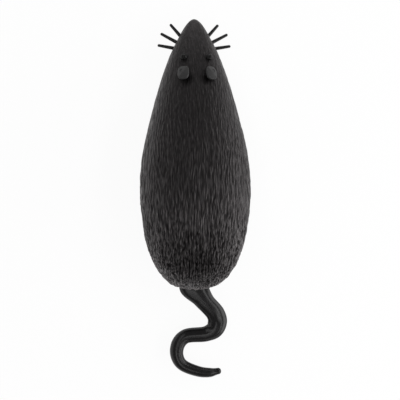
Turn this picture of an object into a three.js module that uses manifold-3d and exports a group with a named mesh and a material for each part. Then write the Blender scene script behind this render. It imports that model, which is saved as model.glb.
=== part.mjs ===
// A toy mouse for pets that shakes itself along on slanted rubber legs: a fur-textured back shell on a
// belly tray, with a motor that turns an eccentric weight, three button cells, a switch, a soft tail
// and a star of whiskers. Millimetres, +Z up, nose towards +Y. The origin is on the floor, under the
// middle of the overall length.

import * as THREE from "three";
import { mergeVertices } from "three/addons/utils/BufferGeometryUtils.js";
import Module from "manifold-3d";

const wasm = await Module();
wasm.setup();

// Body
const TOTAL_LENGTH = 110.4;
const BODY_LENGTH = 82.9;
const BODY_WIDTH = 33.8;
const CREST_HEIGHT = 26.5;
const BELLY_HEIGHT = 4.5;
const BELLY_DROP = 8;
const SEAM_HEIGHT = 8;
const WIDEST_LOW = 8;
const WIDEST_HIGH = 11.5;
const BACK_POWER = 2.3;
const BELLY_POWER = 4;
const BODY_STATIONS = 30;
const BODY_SIDES = 28;
const SHELL_WALL = 1.6;
const TRAY_FLOOR = 1.5;
// One share every 15 degrees of the half turn from the nose to the rump.
const WIDTH_SHARES = [0, 0.13, 0.282, 0.466, 0.641, 0.803, 0.947, 1, 0.955, 0.85, 0.67, 0.41, 0];
const RISE_SHARES = [0, 0.13, 0.29, 0.46, 0.63, 0.8, 0.94, 1, 0.965, 0.86, 0.68, 0.4, 0];
const DROP_SHARES = [0, 0.27, 0.53, 0.77, 0.93, 1, 1, 1, 1, 1, 0.92, 0.62, 0];
const WIDEST_SHARES = [0, 0.03, 0.1, 0.27, 0.5, 0.73, 0.92, 1, 1, 0.94, 0.85, 0.76, 0.72];

// Clearances
const GAP = 0.3;
const FINE_GAP = 0.15;
const CUT = 1; // how far a cutting solid runs past the face that it cuts
const SLOPE_STEP = 0.3; // over which the back's slope is measured

// Button cells, their bay and the battery door
const CELL_COUNT = 3;
const CELL_RADIUS = 5.8;
const CELL_HEIGHT = 5.4;
const CELL_CAP_RADIUS = 4.6;
const CELL_CAP_HEIGHT = 0.5;
const CELL_SIDES = 20;
const BAY_FROM_RUMP = 10.5;
const BAY_WALL = 1.2;
const SPRING_LENGTH = 3.2;
const CONTACT_THICKNESS = 0.4;
const CONTACT_WIDTH = 9;
const CONTACT_TAB_WIDTH = 2.4;
const CONTACT_TAB_RISE = 1.2;
const LEDGE_THICKNESS = 1.2;
const LEDGE_WIDTH = 1;
const DOOR_THICKNESS = 1.3;
const DOOR_OVERLAP = 0.9;
const DOOR_SCREW_SPACE = 6.5;
const DOOR_BEVEL = 0.6;
const TONGUE_WIDTH = 2;
const TONGUE_INSET = 2.6;
const TONGUE_REACH = 1.4;
const TONGUE_THICKNESS = 0.8;
const LIP_THICKNESS = 0.7;
const GRIP_RIB_COUNT = 3;
const GRIP_RIB_WIDTH = 0.5;
const GRIP_RIB_PITCH = 1.3;
const GRIP_RIB_LENGTH = 5;
const GRIP_RIB_DEPTH = 0.35;

// Screws
const SCREW_RADIUS = 1;
const SCREW_HEAD_RADIUS = 1.6;
const SCREW_HEAD_HEIGHT = 1;
const SCREW_TIP_LENGTH = 0.9;
const SCREW_CROWN_SHARE = 0.8; // the flat top of a head, by its radius
const SCREW_SHOULDER_SHARE = 0.6; // where a head's bevel starts, by its height
const SCREW_SIDES = 16;
const CROSS_LENGTH = 2.1;
const CROSS_WIDTH = 0.45;
const CROSS_DEPTH = 0.5;
const SCREW_BITE = 5;
const DOOR_SCREW_BITE = 1.9;
const DOOR_BOSS_RISE = 2.9;
const BOSS_WALL = 1.15;
const HEAD_SINK = 0.3;
const FRONT_SCREW_X = 6.3;
const FRONT_SCREW_BEHIND_NOSE = 19.6;
const REAR_SCREW_X = 9.8;
const REAR_SCREW_FROM_RUMP = 10.6;

// Motor and eccentric weight
const MOTOR_RADIUS = 4;
const MOTOR_LENGTH = 13.5;
const MOTOR_WALL = 0.4;
const MOTOR_NOSE_RADIUS = 1.6;
const MOTOR_NOSE_LENGTH = 0.8;
const MOTOR_SIDES = 20;
const SHAFT_RADIUS = 0.5;
const BUSH_RADIUS = 1.1;
const BUSH_LENGTH = 1.5;
const SHAFT_HOLE_EASE = 0.1;
const MAGNET_RADIUS = 2.3;
const MAGNET_BORE = 0.9;
const MAGNET_SPACE = 5; // the motor's length that the magnet leaves free
const COIL_RADIUS = 3.2;
const COIL_WALL = 0.5;
const COIL_SPACE = 3;
const COIL_END_Y = 1;
const END_CAP_THICKNESS = 1.1;
const END_CAP_SPIGOT = 0.6;
const MOTOR_TAB_WIDTH = 1.4;
const MOTOR_TAB_LENGTH = 1.2;
const MOTOR_TAB_THICKNESS = 0.4;
const MOTOR_TAB_X = 2;
const MOTOR_TAB_Z = 1;
const WEIGHT_RADIUS = 5;
const WEIGHT_HUB_RADIUS = 1.4;
const WEIGHT_GAP = 0.8;
const WEIGHT_FLOOR_GAP = 0.5;
const SADDLE_THICKNESS = 1.2;
const SADDLE_SHARE = 0.3; // height of a saddle's cheeks above the motor's axis, by its radius
const SADDLE_INSET = 2.4;
const CLAMP_WIDTH = 4;
const CLAMP_THICKNESS = 0.8;
const CLAMP_EAR_THICKNESS = 0.9;
const CLAMP_EAR_REACH = 3;
const CLAMP_EAR_DROP = 2.6;
const CLAMP_SCREW_RADIUS = 0.75;
const CLAMP_SCREW_HEAD_RADIUS = 1.4;
const CLAMP_SCREW_HEAD_HEIGHT = 0.7;
const CLAMP_SCREW_BITE = 2.2;

// Switch
const SWITCH_WIDTH = 4.4;
const SWITCH_LENGTH = 8.4;
const SWITCH_HEIGHT = 3.6;
const SWITCH_SHEET = 0.35;
const SWITCH_GAP_FROM_MOTOR = 0.9;
const SWITCH_GAP_FROM_HUB = 1.6;
const SWITCH_TRAVEL = 2;
const WAFER_THICKNESS = 0.8;
const PIN_RADIUS = 0.4;
const PIN_RISE = 1.8;
const PIN_PITCH = 2.5;
const SLIDER_LENGTH = 3.4;
const SLIDER_HEIGHT = 1.5;
const STEM_WIDTH = 1.5;
const BUTTON_WIDTH = 4;
const BUTTON_LENGTH = 4.6;
const BUTTON_THICKNESS = 0.9;
const BUTTON_PROUD = 0.35;
const BUTTON_RECESS = 0.8;
const BUTTON_GROOVE_COUNT = 3;
const BUTTON_GROOVE_WIDTH = 0.35;
const BUTTON_GROOVE_DEPTH = 0.3;
const BUTTON_GROOVE_PITCH = 1;
const SWITCH_RIB_THICKNESS = 0.8;
const SWITCH_RIB_HEIGHT = 2.6;
const SWITCH_RIB_LENGTH = 4.2;

// Legs
const LEG_COUNT = 5;
const LEG_PITCH = 8;
const FIRST_LEG_FROM_RUMP = 15.7;
const LEG_X = 9.8;
const LEG_RAIL_WIDTH = 2.2;
const LEG_RAIL_THICKNESS = 1.6;
const LEG_ROOT_RADIUS = 0.85;
const LEG_TIP_RADIUS = 0.6;
const LEG_SLANT = 2.2;
const LEG_SIDES = 8;
const LEG_RAIL_END = 1.8;

// Whiskers
const WHISKER_ROOT_RADIUS = 0.7;
const WHISKER_TIP_RADIUS = 0.44;
// Degrees forward of straight sideways, and reach, of the whiskers on each side.
const WHISKERS = [
  [9.5, 11.4],
  [28, 11.7],
  [48.5, 11.2],
];
const WHISKER_BEHIND_NOSE = 10.1;
const WHISKER_SIDES = 8;
const HUB_RADIUS = 2.6;
const HUB_THICKNESS = 1.6;
const HUB_PEG_RADIUS = 0.8;
const HUB_PEG_RISE = 1.2;
const HUB_POST_WALL = 0.8;

// Eyes and ears
const EYE_X = 3.7;
const EYE_BEHIND_NOSE = 12.85;
const EYE_RADIUS = 1.05;
const EYE_SIDES = 12;
const EYE_STEM_RADIUS = 0.5;
const EYE_STEM_LENGTH = 2.6;
const EAR_X = 4.45;
const EAR_BEHIND_NOSE = 17.35;
const EAR_LENGTH = 4.4;
const EAR_WIDTH = 3.45;
const EAR_POWER = 2.8;
const EAR_THICKNESS = 1;
const EAR_TILT = 16;
const EAR_SIDES = 20;
const EAR_STEM_RADIUS = 0.7;
const EAR_STEM_LENGTH = 2.6;
const EAR_ROOT_SHARE = 0.34; // how far the stem stands from the ear's front and outer edges
const EAR_UPRIGHT_SHARE = 0.6; // from square to the shell, 0, to upright, 1

// Tail
const TAIL_PEG_RADIUS = 1.2;
const TAIL_PEG_FROM_RUMP = 4.6;
const TAIL_EYE_WALL = 1.2;
const TAIL_ROOT_THICKNESS = 3.6;
const TAIL_WIDTH_SHARE = 0.25; // of the tail's run from the rump to its last bend
const TAIL_SIDES = 12;
const TAIL_STATIONS = 34;
const TAIL_DROOP = 3.4;
const TAIL_SWAY = 12;
const TAIL_SIDE_SHARE = 0.2625; // of the same run
const TAIL_SQUARE_SHARE = 0.3; // how much of the tail's sections still lean towards square to the body
// Places along the tail: sideways by its side reach, back by the run from the rump to its last centre
// line, width and thickness by the tail's width, and how much of the droop is reached.
const TAIL_SHARES = [
  [0.03, -0.08, 1.42, 0.54, 0],
  [0.03, 0, 1.42, 0.54, 0],
  [0.44, 0.13, 1, 0.56, 0.15],
  [0.99, 0.293, 0.92, 0.58, 0.42],
  [1.09, 0.393, 0.94, 0.6, 0.68],
  [0.96, 0.485, 0.88, 0.61, 0.86],
  [0.59, 0.538, 0.755, 0.62, 0.97],
  [-0.345, 0.567, 0.705, 0.63, 1],
  [-0.66, 0.647, 0.69, 0.63, 1],
  [-0.748, 0.772, 0.65, 0.62, 1],
  [-0.533, 0.893, 0.585, 0.56, 1],
  [0.24, 0.985, 0.525, 0.51, 1],
  [0.76, 1, 0.46, 0.44, 1],
  [1.13, 0.985, 0.33, 0.31, 1],
];
const TAIL_WIDTH_SHARES = TAIL_SHARES.map((row) => row[2]);
const TAIL_THICKNESS_SHARES = TAIL_SHARES.map((row) => row[3]);

// Leads
const LEAD_RADIUS = 0.5;
const LEAD_GAP = 0.6;
const LEAD_SIDES = 6;
const LEAD_STEPS = 16;
const SPRING_WIRE_RADIUS = 0.3;
const SPRING_TURNS = 3;
const SPRING_STEPS_PER_TURN = 8;
const SPRING_WIRE_SIDES = 5;
const SPRING_WIDE_RADIUS = 3.8;
const SPRING_NARROW_RADIUS = 2.4;

// Places that follow from the sizes above
const NOSE_Y = TOTAL_LENGTH / 2;
const RUMP_Y = NOSE_Y - BODY_LENGTH;
const BODY_MIDDLE_Y = (NOSE_Y + RUMP_Y) / 2;
const BACK_RISE = CREST_HEIGHT - WIDEST_HIGH;
const FLOOR_TOP = BELLY_HEIGHT + TRAY_FLOOR;
const LEDGE_TOP = FLOOR_TOP + LEDGE_THICKNESS;
const FRONT_SCREW_Y = NOSE_Y - FRONT_SCREW_BEHIND_NOSE;
const REAR_SCREW_Y = RUMP_Y + REAR_SCREW_FROM_RUMP;
const FIRST_LEG_Y = RUMP_Y + FIRST_LEG_FROM_RUMP;
const BAY_REAR_Y = RUMP_Y + BAY_FROM_RUMP;
const CELLS_LENGTH = CELL_COUNT * CELL_HEIGHT + (CELL_COUNT - 1) * FINE_GAP;
const BAY_HALF = CELL_RADIUS + GAP;
const NEGATIVE_PLATE_Y = BAY_REAR_Y + FINE_GAP;
const SPRING_Y = NEGATIVE_PLATE_Y + CONTACT_THICKNESS + SPRING_WIRE_RADIUS + FINE_GAP;
const CELLS_Y = SPRING_Y + SPRING_LENGTH + SPRING_WIRE_RADIUS + FINE_GAP;
const POSITIVE_PLATE_Y = CELLS_Y + CELLS_LENGTH + FINE_GAP;
const BAY_FRONT_Y = POSITIVE_PLATE_Y + CONTACT_THICKNESS + FINE_GAP;
const CELL_BOTTOM = BELLY_HEIGHT + DOOR_THICKNESS + GAP;
const CELL_AXIS_Z = CELL_BOTTOM + CELL_RADIUS;
const BAY_TOP = CELL_AXIS_Z + CELL_RADIUS + GAP;
const DOOR_HALF = BAY_HALF + DOOR_OVERLAP;
const RECESS_HALF = DOOR_HALF + GAP;
const LIP_Y = BAY_REAR_Y - DOOR_OVERLAP - GAP;
const DOOR_REAR_Y = LIP_Y + GAP;
const DOOR_FRONT_Y = BAY_FRONT_Y + DOOR_SCREW_SPACE;
const LIP_TOP = BELLY_HEIGHT + LIP_THICKNESS;
const BOSS_RADIUS = SCREW_RADIUS + FINE_GAP + BOSS_WALL;
const DOOR_SCREW_Y = BAY_FRONT_Y + BAY_WALL + BOSS_RADIUS + FINE_GAP;
const MOTOR_Z = LEDGE_TOP + WEIGHT_FLOOR_GAP + WEIGHT_RADIUS;
const WHISKER_Y = NOSE_Y - WHISKER_BEHIND_NOSE;
const SWITCH_Y = WHISKER_Y - HUB_RADIUS - SWITCH_GAP_FROM_HUB - SWITCH_LENGTH / 2;
const MOTOR_END_Y = SWITCH_Y - SWITCH_LENGTH / 2 - SWITCH_GAP_FROM_MOTOR - END_CAP_THICKNESS;
const MOTOR_NOSE_Y = MOTOR_END_Y - MOTOR_LENGTH;
const MAGNET_LENGTH = MOTOR_LENGTH - MAGNET_SPACE;
const COIL_LENGTH = MOTOR_LENGTH - COIL_SPACE;
// The weight fills the room between the door screw's boss and the motor.
const WEIGHT_REAR_Y = DOOR_SCREW_Y + BOSS_RADIUS + WEIGHT_GAP;
const WEIGHT_FRONT_Y = MOTOR_NOSE_Y - MOTOR_NOSE_LENGTH - WEIGHT_GAP;
const WEIGHT_LENGTH = WEIGHT_FRONT_Y - WEIGHT_REAR_Y;
const TAIL_PEG_Y = RUMP_Y + TAIL_PEG_FROM_RUMP;
const TAIL_Z = FLOOR_TOP + GAP + TAIL_ROOT_THICKNESS / 2;
const TAIL_EYE_RADIUS = TAIL_PEG_RADIUS + GAP + TAIL_EYE_WALL;
const TAIL_LENGTH = TOTAL_LENGTH - BODY_LENGTH;
const TAIL_RUN = TAIL_LENGTH / (1 + (TAIL_WIDTH_SHARE * TAIL_WIDTH_SHARES.at(-2)) / 2);
const TAIL_WIDTH = TAIL_RUN * TAIL_WIDTH_SHARE;
const TAIL_SIDE_REACH = TAIL_RUN * TAIL_SIDE_SHARE;
const TAIL_ROOT_WIDTH = TAIL_WIDTH * TAIL_WIDTH_SHARES[0];
const CREST_CUT = CREST_HEIGHT + CUT;

// Materials
const finish = (color, roughness, metalness = 0) =>
  new THREE.MeshStandardMaterial({ color, roughness, metalness });
const SHELL_BLACK = () => finish(0x262425, 0.5);
const TRAY_BLACK = () => finish(0x1f1e1f, 0.55);
const RUBBER_BLACK = () => finish(0x161516, 0.45);
const BEAD_BLACK = () => finish(0x070707, 0.12);
const STEEL = () => finish(0xb8bbc0, 0.32, 1);
const BRASS = () => finish(0xb59a5a, 0.35, 1);
const TUNGSTEN = () => finish(0x77797d, 0.4, 1);
const COPPER = () => finish(0xa8603a, 0.45, 1);
const MAGNET_GREY = () => finish(0x3a3b3f, 0.5, 0.6);
const NYLON = () => finish(0xe6e2d6, 0.5);
const WAFER_BROWN = () => finish(0x6b4a2c, 0.6);

// A closed geometry as a solid that can be joined and cut.
function solid(geometry) {
  const bare = geometry.clone();
  bare.deleteAttribute("normal");
  bare.deleteAttribute("uv");
  const merged = mergeVertices(bare);
  return new wasm.Manifold(
    new wasm.Mesh({
      numProp: 3,
      vertProperties: merged.getAttribute("position").array,
      triVerts: new Uint32Array(merged.index.array),
    }),
  );
}

// A solid as a geometry with flat faces.
function geometryOf(made) {
  const mesh = made.getMesh();
  const places = new Float32Array(mesh.numVert * 3);
  for (let i = 0; i < mesh.numVert; i++) {
    places.set(mesh.vertProperties.subarray(i * mesh.numProp, i * mesh.numProp + 3), i * 3);
  }
  const geometry = new THREE.BufferGeometry();
  geometry.setAttribute("position", new THREE.BufferAttribute(places, 3));
  geometry.setIndex(new THREE.BufferAttribute(mesh.triVerts, 1));
  const flat = geometry.toNonIndexed();
  flat.computeVertexNormals();
  return flat;
}

function piece(name, shape, material) {
  const mesh = new THREE.Mesh(shape.isBufferGeometry ? shape : geometryOf(shape), material);
  mesh.name = name;
  return mesh;
}

// An upright block between two corners.
function block(x0, x1, y0, y1, z0, z1) {
  const box = new THREE.BoxGeometry(x1 - x0, y1 - y0, z1 - z0);
  return solid(box.translate((x0 + x1) / 2, (y0 + y1) / 2, (z0 + z1) / 2));
}

// A round post standing at x, y from z0 to z1.
function post(x, y, radius, z0, z1, sides = SCREW_SIDES) {
  const cylinder = new THREE.CylinderGeometry(radius, radius, z1 - z0, sides);
  return solid(cylinder.rotateX(Math.PI / 2).translate(x, y, (z0 + z1) / 2));
}

// A round bar between two points, with a radius at each.
function bar(from, to, fromRadius, toRadius, sides) {
  const along = to.clone().sub(from);
  const cylinder = new THREE.CylinderGeometry(toRadius, fromRadius, along.length(), sides);
  const turn = new THREE.Quaternion().setFromUnitVectors(
    new THREE.Vector3(0, 1, 0),
    along.clone().normalize(),
  );
  cylinder.applyQuaternion(turn);
  const middle = from.clone().add(to).multiplyScalar(0.5);
  return solid(cylinder.translate(middle.x, middle.y, middle.z));
}

// A profile of [radius, y] points turned about Y. It closes on itself or ends on the axis.
function turned(profile, sides) {
  const closed = profile.at(0)[0] > 0 || profile.at(-1)[0] > 0;
  const round = closed ? [...profile, profile[0]] : profile;
  let area = 0;
  for (let i = 0; i < profile.length; i++) {
    const [r0, y0] = profile[i];
    const [r1, y1] = profile[(i + 1) % profile.length];
    area += r0 * y1 - r1 * y0;
  }
  const points = round.map(([r, y]) => new THREE.Vector2(r, y));
  if (area < 0) points.reverse();
  return new THREE.LatheGeometry(points, sides);
}

// A closed skin over rings of points that end in two tips.
function loft(rings, startTip, endTip) {
  const sides = rings[0].length;
  const points = [startTip, ...rings.flat(), endTip];
  const last = points.length - 1;
  const at = (ring, side) => 1 + ring * sides + (side % sides);
  const faces = [];
  for (let side = 0; side < sides; side++) {
    faces.push(0, at(0, side + 1), at(0, side));
    faces.push(last, at(rings.length - 1, side), at(rings.length - 1, side + 1));
    for (let ring = 0; ring < rings.length - 1; ring++) {
      faces.push(at(ring, side), at(ring, side + 1), at(ring + 1, side));
      faces.push(at(ring, side + 1), at(ring + 1, side + 1), at(ring + 1, side));
    }
  }
  const geometry = new THREE.BufferGeometry().setFromPoints(points);
  geometry.setIndex(faces);
  return geometry;
}

// A smooth curve through evenly spaced shares. At the ends it carries on as its own mirror image, and
// turned over if odd, so that a width comes to a round tip.
function smooth(shares, place, odd) {
  const last = shares.length - 1;
  const mirrored = (i) => shares[i < 0 ? -i : 2 * last - i] * (odd ? -1 : 1);
  const at = (i) => (i < 0 || i > last ? mirrored(i) : shares[i]);
  const knot = Math.min(Math.floor(place * last), last - 1);
  const [a, b, c, d] = [at(knot - 1), at(knot), at(knot + 1), at(knot + 2)];
  const u = place * last - knot;
  return b + 0.5 * u * (c - a + u * (2 * a - 5 * b + 4 * c - d + u * (3 * (b - c) + d - a)));
}

// The body's half width, rise, drop and widest height at a share of the half turn from nose to rump.
function station(share, inset) {
  const within = (size) => (size > 0 ? (size * size) / (size + inset) : 0);
  const widest = WIDEST_LOW + (WIDEST_HIGH - WIDEST_LOW) * smooth(WIDEST_SHARES, share, false);
  return {
    y: BODY_MIDDLE_Y + (BODY_LENGTH / 2 - inset) * Math.cos(share * Math.PI),
    half: within((BODY_WIDTH / 2) * smooth(WIDTH_SHARES, share, true)),
    rise: within(BACK_RISE * smooth(RISE_SHARES, share, true)),
    drop: within(BELLY_DROP * smooth(DROP_SHARES, share, true)),
    widest,
  };
}

// The body's rounded form, drawn in by an inset, and flat below at a given height.
function bodyForm(inset, flatHeight) {
  const rings = [];
  for (let i = 1; i < BODY_STATIONS; i++) {
    const { y, half, rise, drop, widest } = station(i / BODY_STATIONS, inset);
    const ring = [];
    for (let side = 0; side < BODY_SIDES; side++) {
      const angle = (side / BODY_SIDES) * 2 * Math.PI;
      const [c, s] = [Math.cos(angle), Math.sin(angle)];
      const power = 2 / (s >= 0 ? BACK_POWER : BELLY_POWER);
      const x = half * Math.sign(c) * Math.abs(c) ** power;
      const z = widest + (s >= 0 ? rise : -drop) * Math.abs(s) ** power;
      ring.push(new THREE.Vector3(x, y, z));
    }
    rings.push(ring);
  }
  const [nose, rump] = [station(0, inset), station(1, inset)];
  const form = solid(
    loft(rings, new THREE.Vector3(0, nose.y, nose.widest), new THREE.Vector3(0, rump.y, rump.widest)),
  );
  return form.subtract(slab(flatHeight - BELLY_DROP - CUT, flatHeight));
}

// Everything between two heights, wider than the body.
function slab(z0, z1) {
  return block(-BODY_WIDTH, BODY_WIDTH, -TOTAL_LENGTH, TOTAL_LENGTH, z0, z1);
}

// The height of the back's outer face over a place in plan, and the way it faces there.
function backHeight(x, y) {
  const share = Math.acos((y - BODY_MIDDLE_Y) / (BODY_LENGTH / 2)) / Math.PI;
  const { half, rise, widest } = station(share, 0);
  const across = Math.min(Math.abs(x) / half, 1);
  return widest + rise * (1 - across ** BACK_POWER) ** (1 / BACK_POWER);
}

function backNormal(x, y) {
  const step = SLOPE_STEP;
  const slopeX = (backHeight(x + step, y) - backHeight(x - step, y)) / (2 * step);
  const slopeY = (backHeight(x, y + step) - backHeight(x, y - step)) / (2 * step);
  return new THREE.Vector3(-slopeX, -slopeY, 1).normalize();
}

const OUTER_FORM = bodyForm(0, BELLY_HEIGHT);
const INNER_FORM = bodyForm(SHELL_WALL, FLOOR_TOP);
const MID_WALL_FORM = bodyForm(SHELL_WALL / 2, BELLY_HEIGHT);
const WALLS = OUTER_FORM.subtract(INNER_FORM);

const SIDES = [
  ["left", -1],
  ["right", 1],
];
const CASE_SCREWS = SIDES.flatMap(([side, sign]) => [
  [`front_${side}`, sign * FRONT_SCREW_X, FRONT_SCREW_Y],
  [`rear_${side}`, sign * REAR_SCREW_X, REAR_SCREW_Y],
]);

// Each whisker's direction and reach from the hub's centre.
const WHISKER_WAYS = SIDES.flatMap(([, sign]) =>
  WHISKERS.map(([degrees, reach]) => {
    const angle = THREE.MathUtils.degToRad(degrees);
    return { way: new THREE.Vector3(sign * Math.cos(angle), Math.sin(angle), 0), reach };
  }),
);

function whiskerHoles() {
  const centre = new THREE.Vector3(0, WHISKER_Y, SEAM_HEIGHT);
  const radius = WHISKER_ROOT_RADIUS + GAP;
  return WHISKER_WAYS.map(({ way, reach }) =>
    bar(
      centre.clone().addScaledVector(way, HUB_RADIUS),
      centre.clone().addScaledVector(way, reach),
      radius,
      radius,
      WHISKER_SIDES,
    ),
  );
}

// The opening at the rump that the tail swings in.
function tailSlot() {
  const neck = TAIL_ROOT_WIDTH / 2 + GAP;
  const swing = TAIL_PEG_FROM_RUMP * Math.sin(THREE.MathUtils.degToRad(TAIL_SWAY));
  return block(
    -neck - swing,
    neck + swing,
    RUMP_Y - CUT,
    TAIL_PEG_Y,
    TAIL_Z - TAIL_ROOT_THICKNESS / 2 - GAP,
    TAIL_Z + TAIL_ROOT_THICKNESS / 2 + GAP,
  );
}

// A hollow post that hangs from the shell's roof at x, y down to a height.
function hangingPost(x, y, radius, bottom) {
  return post(x, y, radius, bottom, CREST_CUT).intersect(MID_WALL_FORM);
}

function eyePlace(sign) {
  const [x, y] = [sign * EYE_X, NOSE_Y - EYE_BEHIND_NOSE];
  return { at: new THREE.Vector3(x, y, backHeight(x, y)), out: backNormal(x, y) };
}

function earPlace(sign) {
  const [x, y] = [sign * EAR_X, NOSE_Y - EAR_BEHIND_NOSE];
  const out = backNormal(x, y).lerp(new THREE.Vector3(0, 0, 1), EAR_UPRIGHT_SHARE).normalize();
  return { at: new THREE.Vector3(x, y, backHeight(x, y)), out };
}

function stemHole({ at, out }, radius) {
  const depth = SHELL_WALL + CUT;
  return bar(
    at.clone().addScaledVector(out, CUT),
    at.clone().addScaledVector(out, -depth),
    radius + FINE_GAP,
    radius + FINE_GAP,
    LEG_SIDES,
  );
}

function backShell() {
  let shell = WALLS.subtract(slab(-CUT, SEAM_HEIGHT));
  for (const [, x, y] of CASE_SCREWS) {
    shell = shell.add(hangingPost(x, y, BOSS_RADIUS, SEAM_HEIGHT));
  }
  const hubPostBottom = SEAM_HEIGHT + HUB_THICKNESS / 2 + FINE_GAP;
  const hubPostRadius = HUB_PEG_RADIUS + FINE_GAP + HUB_POST_WALL;
  shell = shell.add(hangingPost(0, WHISKER_Y, hubPostRadius, hubPostBottom));
  const tailPostBottom = TAIL_Z + TAIL_ROOT_THICKNESS / 2 + GAP;
  const tailPostRadius = TAIL_PEG_RADIUS + FINE_GAP + BOSS_WALL;
  shell = shell.add(hangingPost(0, TAIL_PEG_Y, tailPostRadius, tailPostBottom));
  for (const [, x, y] of CASE_SCREWS) {
    const depth = SEAM_HEIGHT + SCREW_BITE + GAP;
    shell = shell.subtract(post(x, y, SCREW_RADIUS + FINE_GAP, SEAM_HEIGHT - CUT, depth));
  }
  const hubPegTop = SEAM_HEIGHT + HUB_THICKNESS / 2 + HUB_PEG_RISE + GAP;
  shell = shell.subtract(post(0, WHISKER_Y, HUB_PEG_RADIUS + FINE_GAP, SEAM_HEIGHT, hubPegTop));
  const tailPegTop = tailPostBottom + TAIL_PEG_RADIUS + GAP;
  shell = shell.subtract(post(0, TAIL_PEG_Y, TAIL_PEG_RADIUS + FINE_GAP, SEAM_HEIGHT, tailPegTop));
  for (const [, sign] of SIDES) {
    shell = shell.subtract(stemHole(eyePlace(sign), EYE_STEM_RADIUS));
    shell = shell.subtract(stemHole(earPlace(sign), EAR_STEM_RADIUS));
  }
  for (const hole of whiskerHoles()) shell = shell.subtract(hole);
  return piece("back_shell", shell.subtract(tailSlot()), SHELL_BLACK());
}

// The ledge that the battery door closes against, and the bay's walls and roof.
function batteryBay() {
  const outer = BAY_HALF + BAY_WALL;
  const ledge = block(
    -DOOR_HALF - LEDGE_WIDTH,
    DOOR_HALF + LEDGE_WIDTH,
    LIP_Y - LEDGE_WIDTH,
    DOOR_FRONT_Y + GAP + LEDGE_WIDTH,
    FLOOR_TOP - FINE_GAP,
    LEDGE_TOP,
  );
  const walls = block(
    -outer,
    outer,
    BAY_REAR_Y - BAY_WALL,
    BAY_FRONT_Y + BAY_WALL,
    FLOOR_TOP,
    BAY_TOP + BAY_WALL,
  );
  const screwBoss = post(0, DOOR_SCREW_Y, BOSS_RADIUS, FLOOR_TOP, LEDGE_TOP + DOOR_BOSS_RISE);
  return ledge.add(walls).add(screwBoss);
}

function batteryBayCuts() {
  const inside = block(
    -BAY_HALF,
    BAY_HALF,
    BAY_REAR_Y,
    BAY_FRONT_Y,
    BELLY_HEIGHT - CUT,
    BAY_TOP,
  );
  const recess = block(
    -RECESS_HALF,
    RECESS_HALF,
    LIP_Y,
    DOOR_FRONT_Y + GAP,
    BELLY_HEIGHT - CUT,
    BELLY_HEIGHT + DOOR_THICKNESS + FINE_GAP,
  );
  const cuts = [inside, recess];
  for (const [, sign] of SIDES) {
    const middle = sign * (DOOR_HALF - TONGUE_INSET);
    const half = TONGUE_WIDTH / 2 + GAP;
    cuts.push(
      block(
        middle - half,
        middle + half,
        LIP_Y - TONGUE_REACH - GAP,
        BAY_REAR_Y,
        LIP_TOP,
        LEDGE_TOP + CUT,
      ),
    );
  }
  const tab = CONTACT_TAB_WIDTH / 2 + FINE_GAP;
  for (const y of [NEGATIVE_PLATE_Y, POSITIVE_PLATE_Y]) {
    const [y0, y1] = [y - FINE_GAP, y + CONTACT_THICKNESS + FINE_GAP];
    cuts.push(block(-tab, tab, y0, y1, BAY_TOP - CUT, BAY_TOP + BAY_WALL + CUT));
  }
  const holeTop = LEDGE_TOP + DOOR_BOSS_RISE + CUT;
  cuts.push(post(0, DOOR_SCREW_Y, SCREW_RADIUS + GAP + FINE_GAP, BELLY_HEIGHT, holeTop));
  return cuts;
}

// Two saddles that carry the motor, and the posts that its clamp is screwed to.
const CLAMP_Y = (MOTOR_END_Y + MOTOR_NOSE_Y) / 2;
const CLAMP_SCREW_X = MOTOR_RADIUS + GAP + CLAMP_THICKNESS + CLAMP_EAR_REACH / 2;
const CLAMP_EAR_BOTTOM = MOTOR_Z - CLAMP_EAR_DROP - CLAMP_EAR_THICKNESS;

function motorSaddles() {
  const half = MOTOR_RADIUS + CLAMP_THICKNESS;
  const top = MOTOR_Z - MOTOR_RADIUS * SADDLE_SHARE;
  const parts = [MOTOR_NOSE_Y + SADDLE_INSET, MOTOR_END_Y - SADDLE_INSET].map((y) =>
    block(-half, half, y - SADDLE_THICKNESS / 2, y + SADDLE_THICKNESS / 2, FLOOR_TOP, top),
  );
  for (const [, sign] of SIDES) {
    const radius = CLAMP_SCREW_RADIUS + FINE_GAP + BOSS_WALL;
    const [x, y] = [sign * CLAMP_SCREW_X, CLAMP_Y];
    parts.push(
      post(x, y, radius, FLOOR_TOP, CLAMP_EAR_BOTTOM).subtract(
        post(
          x,
          y,
          CLAMP_SCREW_RADIUS + FINE_GAP,
          CLAMP_EAR_BOTTOM - CLAMP_SCREW_BITE - GAP,
          CLAMP_EAR_BOTTOM + CUT,
        ),
      ),
    );
  }
  return parts;
}

// The ribs that hold the switch, and the slot and recess for its button.
function switchRibs() {
  const half = SWITCH_WIDTH / 2 + FINE_GAP;
  return SIDES.map(([, sign]) => {
    const inner = sign * half;
    const outer = sign * (half + SWITCH_RIB_THICKNESS);
    return block(
      Math.min(inner, outer),
      Math.max(inner, outer),
      SWITCH_Y - SWITCH_RIB_LENGTH / 2,
      SWITCH_Y + SWITCH_RIB_LENGTH / 2,
      FLOOR_TOP,
      FLOOR_TOP + SWITCH_RIB_HEIGHT,
    );
  });
}

const STEM_Y = SWITCH_Y - SWITCH_TRAVEL / 2;

function switchCuts() {
  const stem = STEM_WIDTH / 2 + GAP;
  const slot = block(
    -stem,
    stem,
    STEM_Y - stem,
    STEM_Y + SWITCH_TRAVEL + stem,
    BELLY_HEIGHT - CUT,
    FLOOR_TOP + CUT,
  );
  const recess = block(
    -BUTTON_WIDTH / 2 - GAP,
    BUTTON_WIDTH / 2 + GAP,
    STEM_Y - BUTTON_LENGTH / 2 - GAP,
    STEM_Y + SWITCH_TRAVEL + BUTTON_LENGTH / 2 + GAP,
    BELLY_HEIGHT - CUT,
    BELLY_HEIGHT + BUTTON_RECESS,
  );
  return [slot, recess];
}

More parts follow.
